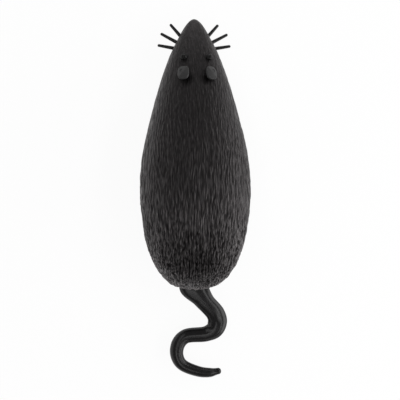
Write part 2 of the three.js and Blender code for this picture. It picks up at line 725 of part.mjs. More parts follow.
const legY = (i) => FIRST_LEG_Y + i * LEG_PITCH;
const RAIL_TOP = FLOOR_TOP + LEG_RAIL_THICKNESS;
const legLean = (z) => (LEG_SLANT * (RAIL_TOP - z)) / RAIL_TOP;

function legSlots() {
  const cuts = [];
  for (const [, sign] of SIDES) {
    const x = sign * LEG_X;
    for (let i = 0; i < LEG_COUNT; i++) {
      const half = LEG_ROOT_RADIUS + GAP;
      const rear = legY(i) - legLean(BELLY_HEIGHT) - half;
      const front = legY(i) - legLean(FLOOR_TOP) + half;
      cuts.push(block(x - half, x + half, rear, front, BELLY_HEIGHT - CUT, FLOOR_TOP + CUT));
    }
  }
  return cuts;
}

function bellyTray() {
  let tray = WALLS.intersect(slab(-CUT, SEAM_HEIGHT)).add(batteryBay());
  for (const [, x, y] of CASE_SCREWS) {
    tray = tray.add(post(x, y, BOSS_RADIUS, FLOOR_TOP - FINE_GAP, SEAM_HEIGHT));
  }
  for (const part of [...motorSaddles(), ...switchRibs()]) tray = tray.add(part);
  const hubBottom = SEAM_HEIGHT - HUB_THICKNESS / 2 - FINE_GAP;
  const hubTop = SEAM_HEIGHT + HUB_THICKNESS / 2 + HUB_PEG_RISE;
  tray = tray.add(post(0, WHISKER_Y, HUB_RADIUS, FLOOR_TOP - FINE_GAP, hubBottom));
  tray = tray.add(post(0, WHISKER_Y, HUB_PEG_RADIUS, FLOOR_TOP, hubTop));
  const tailPegTop = TAIL_Z + TAIL_ROOT_THICKNESS / 2 + GAP + TAIL_PEG_RADIUS;
  const motorSeat = turned(
    [
      [0, -CUT],
      [MOTOR_RADIUS + FINE_GAP, -CUT],
      [MOTOR_RADIUS + FINE_GAP, MOTOR_LENGTH + CUT],
      [0, MOTOR_LENGTH + CUT],
    ],
    MOTOR_SIDES,
  ).translate(0, MOTOR_NOSE_Y, MOTOR_Z);
  tray = tray.subtract(solid(motorSeat));
  for (const cut of [...batteryBayCuts(), ...switchCuts(), ...legSlots(), ...whiskerHoles()]) {
    tray = tray.subtract(cut);
  }
  for (const [, x, y] of CASE_SCREWS) {
    const headTop = BELLY_HEIGHT + SCREW_HEAD_HEIGHT + HEAD_SINK + FINE_GAP;
    tray = tray.subtract(post(x, y, SCREW_HEAD_RADIUS + GAP, BELLY_HEIGHT - CUT, headTop));
    tray = tray.subtract(post(x, y, SCREW_RADIUS + GAP, BELLY_HEIGHT, SEAM_HEIGHT + CUT));
  }
  const tailPeg = post(0, TAIL_PEG_Y, TAIL_PEG_RADIUS, FLOOR_TOP - FINE_GAP, tailPegTop);
  tray = tray.subtract(tailSlot()).add(tailPeg);
  return piece("belly_tray", tray, TRAY_BLACK());
}

// A pan head screw that points up, with its head's underside at z = 0.
function screw(name, radius, headRadius, headHeight, length) {
  const profile = [
    [0, -headHeight],
    [headRadius * SCREW_CROWN_SHARE, -headHeight],
    [headRadius, -headHeight * SCREW_SHOULDER_SHARE],
    [headRadius, 0],
    [radius, 0],
    [radius, length - SCREW_TIP_LENGTH],
    [0, length],
  ];
  let made = solid(turned(profile, SCREW_SIDES).rotateX(Math.PI / 2));
  const [long, wide] = [(CROSS_LENGTH * headRadius) / SCREW_HEAD_RADIUS / 2, CROSS_WIDTH / 2];
  for (const [x, y] of [
    [long, wide],
    [wide, long],
  ]) {
    made = made.subtract(block(-x, x, -y, y, -headHeight - CUT, -headHeight + CROSS_DEPTH));
  }
  return piece(name, made, STEEL());
}

function caseScrews() {
  return CASE_SCREWS.map(([place, x, y]) => {
    const underHead = BELLY_HEIGHT + HEAD_SINK + SCREW_HEAD_HEIGHT;
    const length = SEAM_HEIGHT + SCREW_BITE - underHead;
    const made = screw(
      `case_screw_${place}`,
      SCREW_RADIUS,
      SCREW_HEAD_RADIUS,
      SCREW_HEAD_HEIGHT,
      length,
    );
    made.position.set(x, y, underHead);
    return made;
  });
}

function batteryDoor() {
  // The side view, in y and z. The rear edge is bevelled so that it clears the lip as the door swings.
  const outline = new THREE.Shape([
    new THREE.Vector2(DOOR_REAR_Y, BELLY_HEIGHT + DOOR_THICKNESS),
    new THREE.Vector2(DOOR_REAR_Y, LIP_TOP + FINE_GAP),
    new THREE.Vector2(DOOR_REAR_Y + DOOR_BEVEL, BELLY_HEIGHT),
    new THREE.Vector2(DOOR_FRONT_Y, BELLY_HEIGHT),
    new THREE.Vector2(DOOR_FRONT_Y, BELLY_HEIGHT + DOOR_THICKNESS),
  ]);
  const plate = new THREE.ExtrudeGeometry(outline, { depth: 2 * DOOR_HALF, bevelEnabled: false });
  // The outline's x runs along world y, its y along world z and the extrusion along world x.
  plate.applyMatrix4(new THREE.Matrix4().set(0, 0, 1, -DOOR_HALF, 1, 0, 0, 0, 0, 1, 0, 0, 0, 0, 0, 1));
  let door = solid(plate);
  const tongueBottom = LIP_TOP + FINE_GAP;
  for (const [, sign] of SIDES) {
    const middle = sign * (DOOR_HALF - TONGUE_INSET);
    door = door.add(
      block(
        middle - TONGUE_WIDTH / 2,
        middle + TONGUE_WIDTH / 2,
        LIP_Y - TONGUE_REACH,
        DOOR_REAR_Y + DOOR_BEVEL,
        tongueBottom,
        tongueBottom + TONGUE_THICKNESS,
      ),
    );
  }
  const headTop = BELLY_HEIGHT + FINE_GAP + DOOR_THICKNESS / 2;
  door = door.subtract(post(0, DOOR_SCREW_Y, SCREW_HEAD_RADIUS + FINE_GAP, BELLY_HEIGHT - CUT, headTop));
  door = door.subtract(post(0, DOOR_SCREW_Y, SCREW_RADIUS + FINE_GAP, BELLY_HEIGHT, LEDGE_TOP));
  const firstRib = (BAY_REAR_Y + BAY_FRONT_Y - (GRIP_RIB_COUNT - 1) * GRIP_RIB_PITCH) / 2;
  for (let i = 0; i < GRIP_RIB_COUNT; i++) {
    const y = firstRib + i * GRIP_RIB_PITCH;
    door = door.subtract(
      block(
        -GRIP_RIB_LENGTH / 2,
        GRIP_RIB_LENGTH / 2,
        y - GRIP_RIB_WIDTH / 2,
        y + GRIP_RIB_WIDTH / 2,
        BELLY_HEIGHT - CUT,
        BELLY_HEIGHT + GRIP_RIB_DEPTH,
      ),
    );
  }
  return piece("battery_door", door, TRAY_BLACK());
}

function doorScrew() {
  const underHead = BELLY_HEIGHT + DOOR_THICKNESS / 2;
  const length = LEDGE_TOP + DOOR_SCREW_BITE - underHead;
  const made = screw("door_screw", SCREW_RADIUS, SCREW_HEAD_RADIUS, DOOR_THICKNESS / 2, length);
  made.position.set(0, DOOR_SCREW_Y, underHead);
  return made;
}

// One button cell with its cap, the negative pole, towards the rear.
function buttonCells() {
  const profile = [
    [0, 0],
    [CELL_CAP_RADIUS, 0],
    [CELL_CAP_RADIUS, CELL_CAP_HEIGHT],
    [CELL_RADIUS, CELL_CAP_HEIGHT],
    [CELL_RADIUS, CELL_HEIGHT],
    [0, CELL_HEIGHT],
  ];
  const cells = [];
  for (let i = 0; i < CELL_COUNT; i++) {
    const made = piece(`button_cell_${i + 1}`, turned(profile, CELL_SIDES), STEEL());
    made.position.set(0, CELLS_Y + i * (CELL_HEIGHT + FINE_GAP), CELL_AXIS_Z);
    cells.push(made);
  }
  return cells;
}

// A contact plate with a tab that stands up through the bay's roof.
function contactPlate(name, y) {
  const half = CONTACT_WIDTH / 2;
  const plate = block(
    -half,
    half,
    y,
    y + CONTACT_THICKNESS,
    CELL_AXIS_Z - half,
    CELL_AXIS_Z + half,
  );
  const tab = block(
    -CONTACT_TAB_WIDTH / 2,
    CONTACT_TAB_WIDTH / 2,
    y,
    y + CONTACT_THICKNESS,
    CELL_AXIS_Z,
    BAY_TOP + BAY_WALL + CONTACT_TAB_RISE,
  );
  return piece(name, plate.add(tab), STEEL());
}

// A closed tube of a round wire along a curve.
function wire(points, radius, sides, steps) {
  const outline = new THREE.Shape();
  for (let i = 0; i < sides; i++) {
    const angle = (i / sides) * 2 * Math.PI;
    const [x, y] = [radius * Math.cos(angle), radius * Math.sin(angle)];
    if (i === 0) outline.moveTo(x, y);
    else outline.lineTo(x, y);
  }
  const path = new THREE.CatmullRomCurve3(points);
  return new THREE.ExtrudeGeometry(outline, { steps, extrudePath: path, bevelEnabled: false });
}

function contactSpring() {
  const steps = SPRING_TURNS * SPRING_STEPS_PER_TURN;
  const points = [];
  for (let i = 0; i <= steps; i++) {
    const share = i / steps;
    const angle = share * SPRING_TURNS * 2 * Math.PI;
    const radius = SPRING_WIDE_RADIUS + (SPRING_NARROW_RADIUS - SPRING_WIDE_RADIUS) * share;
    points.push(
      new THREE.Vector3(
        radius * Math.cos(angle),
        SPRING_Y + SPRING_LENGTH * share,
        CELL_AXIS_Z + radius * Math.sin(angle),
      ),
    );
  }
  const made = wire(points, SPRING_WIRE_RADIUS, SPRING_WIRE_SIDES, steps);
  return piece("negative_spring", solid(made), STEEL());
}

// The motor, its length along Y from the brush end, y = 0, to the shaft end.
function motor() {
  const group = new THREE.Group();
  group.position.set(0, MOTOR_END_Y, MOTOR_Z);
  group.rotation.z = Math.PI;
  const bore = SHAFT_RADIUS + SHAFT_HOLE_EASE;
  const inside = MOTOR_RADIUS - MOTOR_WALL;
  const noseTop = MOTOR_LENGTH + MOTOR_NOSE_LENGTH;
  const bushHole = BUSH_RADIUS + FINE_GAP / 2;
  const can = turned(
    [
      [MOTOR_RADIUS, 0],
      [MOTOR_RADIUS, MOTOR_LENGTH],
      [MOTOR_NOSE_RADIUS, MOTOR_LENGTH],
      [MOTOR_NOSE_RADIUS, noseTop],
      [bushHole, noseTop],
      [bushHole, MOTOR_LENGTH - MOTOR_WALL],
      [inside, MOTOR_LENGTH - MOTOR_WALL],
      [inside, 0],
    ],
    MOTOR_SIDES,
  );
  const bush = turned(
    [
      [BUSH_RADIUS, noseTop],
      [bore, noseTop],
      [bore, noseTop - BUSH_LENGTH],
      [BUSH_RADIUS, noseTop - BUSH_LENGTH],
    ],
    MOTOR_SIDES,
  );
  const magnetEnd = MOTOR_LENGTH - MOTOR_WALL - FINE_GAP;
  const magnet = turned(
    [
      [MAGNET_RADIUS, magnetEnd],
      [bushHole + FINE_GAP, magnetEnd],
      [bushHole + FINE_GAP, magnetEnd - BUSH_LENGTH],
      [MAGNET_BORE, magnetEnd - BUSH_LENGTH],
      [MAGNET_BORE, magnetEnd - MAGNET_LENGTH],
      [MAGNET_RADIUS, magnetEnd - MAGNET_LENGTH],
    ],
    MOTOR_SIDES,
  );
  const coil = turned(
    [
      [COIL_RADIUS, COIL_END_Y],
      [COIL_RADIUS, COIL_END_Y + COIL_LENGTH],
      [COIL_RADIUS - COIL_WALL, COIL_END_Y + COIL_LENGTH],
      [COIL_RADIUS - COIL_WALL, COIL_END_Y + COIL_WALL],
      [SHAFT_RADIUS + FINE_GAP / 2, COIL_END_Y + COIL_WALL],
      [SHAFT_RADIUS + FINE_GAP / 2, COIL_END_Y],
    ],
    MOTOR_SIDES,
  );
  const shaftEnd = noseTop + WEIGHT_GAP + WEIGHT_LENGTH + FINE_GAP;
  const shaft = turned(
    [
      [0, END_CAP_SPIGOT + FINE_GAP],
      [SHAFT_RADIUS, END_CAP_SPIGOT + FINE_GAP],
      [SHAFT_RADIUS, shaftEnd],
      [0, shaftEnd],
    ],
    MOTOR_SIDES,
  );
  let cap = solid(
    turned(
      [
        [0, -END_CAP_THICKNESS],
        [MOTOR_RADIUS, -END_CAP_THICKNESS],
        [MOTOR_RADIUS, 0],
        [inside - FINE_GAP, 0],
        [inside - FINE_GAP, END_CAP_SPIGOT],
        [0, END_CAP_SPIGOT],
      ],
      MOTOR_SIDES,
    ),
  );
  for (const [, sign] of SIDES) {
    const x = sign * MOTOR_TAB_X;
    cap = cap.add(
      block(
        x - MOTOR_TAB_WIDTH / 2,
        x + MOTOR_TAB_WIDTH / 2,
        -END_CAP_THICKNESS - MOTOR_TAB_THICKNESS,
        -END_CAP_THICKNESS + FINE_GAP,
        MOTOR_TAB_Z,
        MOTOR_TAB_Z + MOTOR_TAB_LENGTH,
      ),
    );
  }
  group.add(
    piece("motor_can", can, STEEL()),
    piece("motor_bush", bush, BRASS()),
    piece("motor_magnet", magnet, MAGNET_GREY()),
    piece("motor_coil", coil, COPPER()),
    piece("motor_shaft", shaft, STEEL()),
    piece("motor_end_cap", cap, NYLON()),
    eccentricWeight(noseTop + WEIGHT_GAP),
  );
  return group;
}

// Half a disc about the shaft, hanging down, with its round hub.
function eccentricWeight(start) {
  const outline = new THREE.Shape();
  outline.absarc(0, 0, WEIGHT_RADIUS, Math.PI, 2 * Math.PI, false);
  outline.lineTo(WEIGHT_HUB_RADIUS, 0);
  outline.absarc(0, 0, WEIGHT_HUB_RADIUS, 0, Math.PI, false);
  const hole = new THREE.Path().absarc(0, 0, SHAFT_RADIUS + FINE_GAP / 2, 0, 2 * Math.PI, true);
  outline.holes.push(hole);
  const made = new THREE.ExtrudeGeometry(outline, {
    depth: WEIGHT_LENGTH,
    bevelEnabled: false,
    curveSegments: MOTOR_SIDES / 2,
  });
  const mesh = piece("eccentric_weight", solid(made.rotateX(Math.PI / 2)), TUNGSTEN());
  mesh.position.y = start + WEIGHT_LENGTH;
  return mesh;
}

function motorClamp() {
  const [inner, outer] = [MOTOR_RADIUS + GAP, MOTOR_RADIUS + GAP + CLAMP_THICKNESS];
  const earTop = -CLAMP_EAR_DROP;
  const earBottom = earTop - CLAMP_EAR_THICKNESS;
  const reach = outer + CLAMP_EAR_REACH;
  const outline = new THREE.Shape();
  outline.moveTo(reach, earBottom);
  outline.lineTo(reach, earTop);
  outline.lineTo(outer, earTop);
  outline.absarc(0, 0, outer, 0, Math.PI, false);
  outline.lineTo(-outer, earTop);
  outline.lineTo(-reach, earTop);
  outline.lineTo(-reach, earBottom);
  outline.lineTo(-inner, earBottom);
  outline.absarc(0, 0, inner, Math.PI, 0, true);
  outline.lineTo(inner, earBottom);
  const strap = new THREE.ExtrudeGeometry(outline, {
    depth: CLAMP_WIDTH,
    bevelEnabled: false,
    curveSegments: MOTOR_SIDES / 2,
  });
  let clamp = solid(strap.rotateX(Math.PI / 2).translate(0, CLAMP_Y + CLAMP_WIDTH / 2, MOTOR_Z));
  for (const [, sign] of SIDES) {
    const hole = CLAMP_SCREW_RADIUS + FINE_GAP;
    clamp = clamp.subtract(post(sign * CLAMP_SCREW_X, CLAMP_Y, hole, FLOOR_TOP, MOTOR_Z));
  }
  return piece("motor_clamp", clamp, STEEL());
}

function clampScrews() {
  return SIDES.map(([side, sign]) => {
    const made = screw(
      `clamp_screw_${side}`,
      CLAMP_SCREW_RADIUS,
      CLAMP_SCREW_HEAD_RADIUS,
      CLAMP_SCREW_HEAD_HEIGHT,
      CLAMP_EAR_THICKNESS + CLAMP_SCREW_BITE,
    );
    made.position.set(sign * CLAMP_SCREW_X, CLAMP_Y, CLAMP_EAR_BOTTOM + CLAMP_EAR_THICKNESS);
    made.rotation.x = Math.PI;
    return made;
  });
}

// The switch: a folded steel frame under a wafer with three pins, and the slider and button that move.
function slideSwitch() {
  const [halfX, halfY] = [SWITCH_WIDTH / 2, SWITCH_LENGTH / 2];
  const top = FLOOR_TOP + SWITCH_HEIGHT;
  const stem = STEM_WIDTH / 2;
  let frame = block(-halfX, halfX, SWITCH_Y - halfY, SWITCH_Y + halfY, FLOOR_TOP, top);
  const inside = [halfX - SWITCH_SHEET, halfY - SWITCH_SHEET];
  frame = frame.subtract(
    block(
      -inside[0],
      inside[0],
      SWITCH_Y - inside[1],
      SWITCH_Y + inside[1],
      FLOOR_TOP + SWITCH_SHEET,
      top + CUT,
    ),
  );
  frame = frame.subtract(
    block(
      -stem - GAP,
      stem + GAP,
      STEM_Y - stem - GAP,
      STEM_Y + SWITCH_TRAVEL + stem + GAP,
      FLOOR_TOP - CUT,
      FLOOR_TOP + CUT,
    ),
  );
  let wafer = block(
    -inside[0] + FINE_GAP,
    inside[0] - FINE_GAP,
    SWITCH_Y - inside[1] + FINE_GAP,
    SWITCH_Y + inside[1] - FINE_GAP,
    top - WAFER_THICKNESS,
    top,
  );
  for (const place of [-1, 0, 1]) {
    const y = SWITCH_Y + place * PIN_PITCH;
    wafer = wafer.add(post(0, y, PIN_RADIUS, top - FINE_GAP, top + PIN_RISE, LEG_SIDES));
  }
  const sliderBottom = FLOOR_TOP + SWITCH_SHEET + FINE_GAP;
  const buttonTop = BELLY_HEIGHT + BUTTON_THICKNESS - BUTTON_PROUD;
  const slider = block(
    -inside[0] + GAP,
    inside[0] - GAP,
    STEM_Y - SLIDER_LENGTH / 2,
    STEM_Y + SLIDER_LENGTH / 2,
    sliderBottom,
    sliderBottom + SLIDER_HEIGHT,
  ).add(block(-stem, stem, STEM_Y - stem, STEM_Y + stem, buttonTop - GAP, sliderBottom + FINE_GAP));
  return [
    piece("switch_frame", frame, STEEL()),
    piece("switch_wafer", wafer, WAFER_BROWN()),
    piece("switch_slider", slider, NYLON()),
    switchButton(buttonTop),
  ];
}

// The button that shows on the belly, with a socket for the slider's stem and grooves for the nail.
function switchButton(top) {
  const socket = STEM_WIDTH / 2 + FINE_GAP / 2;
  let button = block(
    -BUTTON_WIDTH / 2,
    BUTTON_WIDTH / 2,
    STEM_Y - BUTTON_LENGTH / 2,
    STEM_Y + BUTTON_LENGTH / 2,
    BELLY_HEIGHT - BUTTON_PROUD,
    top,
  );
  button = button.subtract(
    block(
      -socket,
      socket,
      STEM_Y - socket,
      STEM_Y + socket,
      top - GAP - FINE_GAP / 2,
      top + CUT,
    ),
  );
  const first = STEM_Y - ((BUTTON_GROOVE_COUNT - 1) * BUTTON_GROOVE_PITCH) / 2;
  for (let i = 0; i < BUTTON_GROOVE_COUNT; i++) {
    const y = first + i * BUTTON_GROOVE_PITCH;
    const bottom = BELLY_HEIGHT - BUTTON_PROUD;
    button = button.subtract(
      block(
        -BUTTON_WIDTH,
        BUTTON_WIDTH,
        y - BUTTON_GROOVE_WIDTH / 2,
        y + BUTTON_GROOVE_WIDTH / 2,
        bottom - CUT,
        bottom + BUTTON_GROOVE_DEPTH,
      ),
    );
  }
  return piece("switch_button", button, NYLON());
}

// A rail inside the tray with legs that reach the floor through its slots, slanting back. Where the
// body is slim the tray's wall trims the rail.
function legStrip(side, sign) {
  const x = sign * LEG_X;
  let strip = block(
    x - LEG_RAIL_WIDTH / 2,
    x + LEG_RAIL_WIDTH / 2,
    legY(0) - LEG_RAIL_END,
    legY(LEG_COUNT - 1) + LEG_RAIL_END,
    FLOOR_TOP,
    RAIL_TOP,
  );
  const lean = new THREE.Matrix4().makeShear(0, 0, 0, 0, 0, LEG_SLANT / RAIL_TOP);
  for (let i = 0; i < LEG_COUNT; i++) {
    const leg = new THREE.CylinderGeometry(LEG_ROOT_RADIUS, LEG_TIP_RADIUS, RAIL_TOP, LEG_SIDES);
    leg.rotateX(Math.PI / 2).translate(0, 0, -RAIL_TOP / 2).applyMatrix4(lean);
    strip = strip.add(solid(leg.translate(x, legY(i), RAIL_TOP)));
  }
  const room = bodyForm(SHELL_WALL + FINE_GAP, FLOOR_TOP).add(slab(-CUT, FLOOR_TOP));
  strip = strip.intersect(room);
  return piece(`leg_strip_${side}`, strip, RUBBER_BLACK());
}

function whiskerStar() {
  const centre = new THREE.Vector3(0, 0, 0);
  let star = post(0, 0, HUB_RADIUS, -HUB_THICKNESS / 2, HUB_THICKNESS / 2);
  for (const { way, reach } of WHISKER_WAYS) {
    star = star.add(
      bar(
        centre.clone().addScaledVector(way, HUB_RADIUS / 2),
        centre.clone().addScaledVector(way, reach),
        WHISKER_ROOT_RADIUS,
        WHISKER_TIP_RADIUS,
        WHISKER_SIDES,
      ),
    );
  }
  star = star.subtract(post(0, 0, HUB_PEG_RADIUS + FINE_GAP, -HUB_THICKNESS, HUB_THICKNESS));
  const made = piece("whisker_star", star, RUBBER_BLACK());
  made.position.set(0, WHISKER_Y, SEAM_HEIGHT);
  return made;
}

// A bead with a stem behind it, facing the way the shell faces.
function eye(side, sign) {
  const { at, out } = eyePlace(sign);
  const steps = 5;
  const profile = [[0, EYE_RADIUS]];
  for (let i = 1; i <= steps; i++) {
    const angle = (i / steps) * (Math.PI / 2);
    profile.push([EYE_RADIUS * Math.sin(angle), EYE_RADIUS * Math.cos(angle)]);
  }
  profile.push([EYE_STEM_RADIUS, 0], [EYE_STEM_RADIUS, -EYE_STEM_LENGTH], [0, -EYE_STEM_LENGTH]);
  const made = piece(`eye_${side}`, turned(profile, EYE_SIDES), BEAD_BLACK());
  made.position.copy(at).addScaledVector(out, GAP);
  made.quaternion.setFromUnitVectors(new THREE.Vector3(0, 1, 0), out);
  return made;
}

// A leaf with round corners, on a stem near its front and outer corner. It lifts towards the rear and
// the middle of the head.
function ear(side, sign) {
  const { at, out } = earPlace(sign);
  const points = [];
  for (let i = 0; i < EAR_SIDES; i++) {
    const angle = (i / EAR_SIDES) * 2 * Math.PI;
    const [c, s] = [Math.cos(angle), Math.sin(angle)];
    const x = (EAR_WIDTH / 2) * Math.sign(c) * Math.abs(c) ** (2 / EAR_POWER);
    const y = (EAR_LENGTH / 2) * Math.sign(s) * Math.abs(s) ** (2 / EAR_POWER);
    points.push(new THREE.Vector2(x, y));
  }
  const leaf = new THREE.ExtrudeGeometry(new THREE.Shape(points), {
    depth: EAR_THICKNESS,
    bevelEnabled: false,
  });
  const fromRoot = 0.5 - EAR_ROOT_SHARE;
  leaf.translate(-sign * EAR_WIDTH * fromRoot, -EAR_LENGTH * fromRoot, 0);
  const up = new THREE.Vector3(0, 0, 1);
  const inwardAndBack = new THREE.Vector3(-sign, -1, 0).normalize();
  const tilt = THREE.MathUtils.degToRad(EAR_TILT);
  leaf.applyMatrix4(new THREE.Matrix4().makeRotationAxis(inwardAndBack.cross(up), tilt));
  const stem = new THREE.CylinderGeometry(EAR_STEM_RADIUS, EAR_STEM_RADIUS, EAR_STEM_LENGTH, LEG_SIDES);
  stem.rotateX(Math.PI / 2).translate(0, 0, EAR_THICKNESS / 2 - EAR_STEM_LENGTH / 2);
  const made = piece(`ear_${side}`, solid(leaf).add(solid(stem)), RUBBER_BLACK());
  const lift = GAP + Math.hypot(EAR_LENGTH, EAR_WIDTH) * EAR_ROOT_SHARE * Math.sin(tilt);
  made.position.copy(at).addScaledVector(out, lift);
  made.quaternion.setFromUnitVectors(up, out);
  return made;
}

// The tail: a flat eye on its peg, a neck through the rump, and a round S that tapers to its tip.
function tail() {
  const count = TAIL_SHARES.length;
  const curve = new THREE.CatmullRomCurve3(
    TAIL_SHARES.map(
      ([aside, back, , , droop]) =>
        new THREE.Vector3(aside * TAIL_SIDE_REACH, RUMP_Y - back * TAIL_RUN, TAIL_Z - TAIL_DROOP * droop),
    ),
  );
  const up = new THREE.Vector3(0, 0, 1);
  const rings = [];
  for (let i = 0; i <= TAIL_STATIONS; i++) {
    const place = i / TAIL_STATIONS;
    const at = curve.getPoint(place);
    const square = Math.max(1 - place / TAIL_SQUARE_SHARE, 0);
    const heading = curve.getTangent(place).lerp(new THREE.Vector3(0, -1, 0), square);
    const side = heading.cross(up).normalize();
    const half = (TAIL_WIDTH / 2) * smooth(TAIL_WIDTH_SHARES, place, false);
    const thick = (TAIL_WIDTH / 2) * smooth(TAIL_THICKNESS_SHARES, place, false);
    const ring = [];
    for (let j = 0; j < TAIL_SIDES; j++) {
      const angle = (-j / TAIL_SIDES) * 2 * Math.PI;
      ring.push(
        at
          .clone()
          .addScaledVector(side, half * Math.cos(angle))
          .addScaledVector(up, thick * Math.sin(angle)),
      );
    }
    rings.push(ring);
  }
  const tipHalf = (TAIL_WIDTH / 2) * TAIL_WIDTH_SHARES[count - 1];
  const tip = curve.getPoint(1).addScaledVector(curve.getTangent(1), tipHalf);
  let made = solid(loft(rings, curve.getPoint(0), tip));
  const [bottom, top] = [TAIL_Z - TAIL_ROOT_THICKNESS / 2, TAIL_Z + TAIL_ROOT_THICKNESS / 2];
  const neckEnd = curve.getPoint(0).y - GAP;
  made = made.add(post(0, TAIL_PEG_Y, TAIL_EYE_RADIUS, bottom, top));
  made = made.add(block(-TAIL_EYE_RADIUS, TAIL_EYE_RADIUS, neckEnd, TAIL_PEG_Y, bottom, top));
  made = made.subtract(post(0, TAIL_PEG_Y, TAIL_PEG_RADIUS + GAP, bottom - CUT, top + CUT));
  return piece("tail", made, RUBBER_BLACK());
}

// A lead through the points given, from one soldered end to the other.
function lead(name, points, color) {
  const made = wire(points, LEAD_RADIUS, LEAD_SIDES, LEAD_STEPS);
  return piece(name, solid(made), finish(color, 0.5));
}

function leads() {
  const tabTop = BAY_TOP + BAY_WALL + CONTACT_TAB_RISE + LEAD_RADIUS + GAP;
  const pinTop = FLOOR_TOP + SWITCH_HEIGHT + PIN_RISE + LEAD_RADIUS + GAP;
  const motorTabY = MOTOR_END_Y + END_CAP_THICKNESS + MOTOR_TAB_THICKNESS + LEAD_RADIUS + GAP;
  const motorTabZ = MOTOR_Z + MOTOR_TAB_Z + MOTOR_TAB_LENGTH;
  const besideMotor = MOTOR_RADIUS + GAP + CLAMP_THICKNESS + GAP + LEAD_RADIUS;
  const overScrews = CLAMP_EAR_BOTTOM + CLAMP_EAR_THICKNESS + CLAMP_SCREW_HEAD_HEIGHT;
  const besideZ = overScrews + LEAD_RADIUS + LEAD_GAP;
  const at = (x, y, z) => new THREE.Vector3(x, y, z);
  const positive = [
    at(0, POSITIVE_PLATE_Y + CONTACT_THICKNESS, tabTop),
    at(besideMotor / 2, (POSITIVE_PLATE_Y + MOTOR_NOSE_Y) / 2, tabTop),
    at(besideMotor + LEAD_RADIUS, MOTOR_NOSE_Y, (tabTop + besideZ) / 2),
    at(besideMotor, CLAMP_Y, besideZ + GAP),
    at(besideMotor, MOTOR_END_Y, besideZ),
    at(PIN_RADIUS, SWITCH_Y, pinTop),
  ];
  const negative = [
    at(0, NEGATIVE_PLATE_Y, tabTop),
    at(-besideMotor / 2, (BAY_REAR_Y + BAY_FRONT_Y) / 2, tabTop + LEAD_RADIUS),
    at(-besideMotor, BAY_FRONT_Y, tabTop),
    at(-besideMotor - LEAD_RADIUS, MOTOR_NOSE_Y, (tabTop + besideZ) / 2),
    at(-besideMotor, CLAMP_Y, besideZ + GAP),
    at(-besideMotor, MOTOR_END_Y - GAP, besideZ + GAP),
    at(-MOTOR_RADIUS, motorTabY + LEAD_RADIUS, motorTabZ),
    at(-MOTOR_TAB_X - LEAD_RADIUS, motorTabY, motorTabZ),
  ];
  const bridge = [
    at(MOTOR_TAB_X, motorTabY, motorTabZ),
    at(MOTOR_TAB_X / 2, (motorTabY + SWITCH_Y) / 2, motorTabZ + GAP),
    at(0, SWITCH_Y + PIN_PITCH, pinTop),
  ];
  return [
    lead("lead_red", positive, 0xa02018),
    lead("lead_black", negative, 0x151515),
    lead("lead_blue", bridge, 0x1d3f8a),
  ];
}

const mouse = new THREE.Group();
mouse.add(backShell(), bellyTray(), ...caseScrews(), batteryDoor(), doorScrew(), ...buttonCells());
mouse.add(
  contactPlate("negative_plate", NEGATIVE_PLATE_Y),
  contactSpring(),
  contactPlate("positive_plate", POSITIVE_PLATE_Y),
);
mouse.add(motor(), motorClamp(), ...clampScrews(), ...slideSwitch(), whiskerStar(), tail());
for (const [side, sign] of SIDES) mouse.add(legStrip(side, sign), eye(side, sign), ear(side, sign));
mouse.add(...leads());

export default mouse;
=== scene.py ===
"""A toy mouse with a furred back, seen from above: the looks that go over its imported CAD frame.

Shapes are worked out in millimetres in the frame's axes, +Z up and the nose towards +Y, and turned
into metres when a mesh is made.
"""

import math

import bmesh
import bpy
import numpy as np
from mathutils import Matrix, Vector

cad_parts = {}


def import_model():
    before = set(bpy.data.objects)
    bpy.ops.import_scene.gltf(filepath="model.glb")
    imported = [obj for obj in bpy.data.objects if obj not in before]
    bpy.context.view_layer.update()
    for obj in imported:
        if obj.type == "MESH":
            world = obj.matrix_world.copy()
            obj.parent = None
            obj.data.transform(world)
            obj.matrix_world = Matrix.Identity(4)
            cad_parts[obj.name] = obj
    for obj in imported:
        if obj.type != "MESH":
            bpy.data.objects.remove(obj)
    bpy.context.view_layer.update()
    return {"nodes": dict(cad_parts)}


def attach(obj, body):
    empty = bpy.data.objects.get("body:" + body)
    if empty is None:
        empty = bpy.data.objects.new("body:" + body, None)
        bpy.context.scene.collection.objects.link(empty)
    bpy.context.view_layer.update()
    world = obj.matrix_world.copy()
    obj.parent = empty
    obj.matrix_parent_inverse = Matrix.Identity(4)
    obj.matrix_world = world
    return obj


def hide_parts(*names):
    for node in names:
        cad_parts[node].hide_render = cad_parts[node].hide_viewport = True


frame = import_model()
# The frame's own materials make way for those below
for plain in list(bpy.data.materials):
    bpy.data.materials.remove(plain)

MM = 0.001
# Keeps a division from meeting zero
TINY = 1e-9
# Points of a mesh within this many metres are one point
SAME_POINT = 1e-7

# Body, as in the CAD source
TOTAL_LENGTH = 110.4
BODY_LENGTH = 82.9
BODY_WIDTH = 33.8
CREST_HEIGHT = 26.5
BELLY_HEIGHT = 4.5
BELLY_DROP = 8.0
SEAM_HEIGHT = 8.0
WIDEST_LOW = 8.0
WIDEST_HIGH = 11.5
BACK_POWER = 2.3
BELLY_POWER = 4.0
WIDTH_SHARES = [0, 0.13, 0.282, 0.466, 0.641, 0.803, 0.947, 1, 0.955, 0.85, 0.67, 0.41, 0]
RISE_SHARES = [0, 0.13, 0.29, 0.46, 0.63, 0.8, 0.94, 1, 0.965, 0.86, 0.68, 0.4, 0]
DROP_SHARES = [0, 0.27, 0.53, 0.77, 0.93, 1, 1, 1, 1, 1, 0.92, 0.62, 0]
WIDEST_SHARES = [0, 0.03, 0.1, 0.27, 0.5, 0.73, 0.92, 1, 1, 0.94, 0.85, 0.76, 0.72]
NOSE_Y = TOTAL_LENGTH / 2
RUMP_Y = NOSE_Y - BODY_LENGTH
MIDDLE_Y = (NOSE_Y + RUMP_Y) / 2
BACK_RISE = CREST_HEIGHT - WIDEST_HIGH
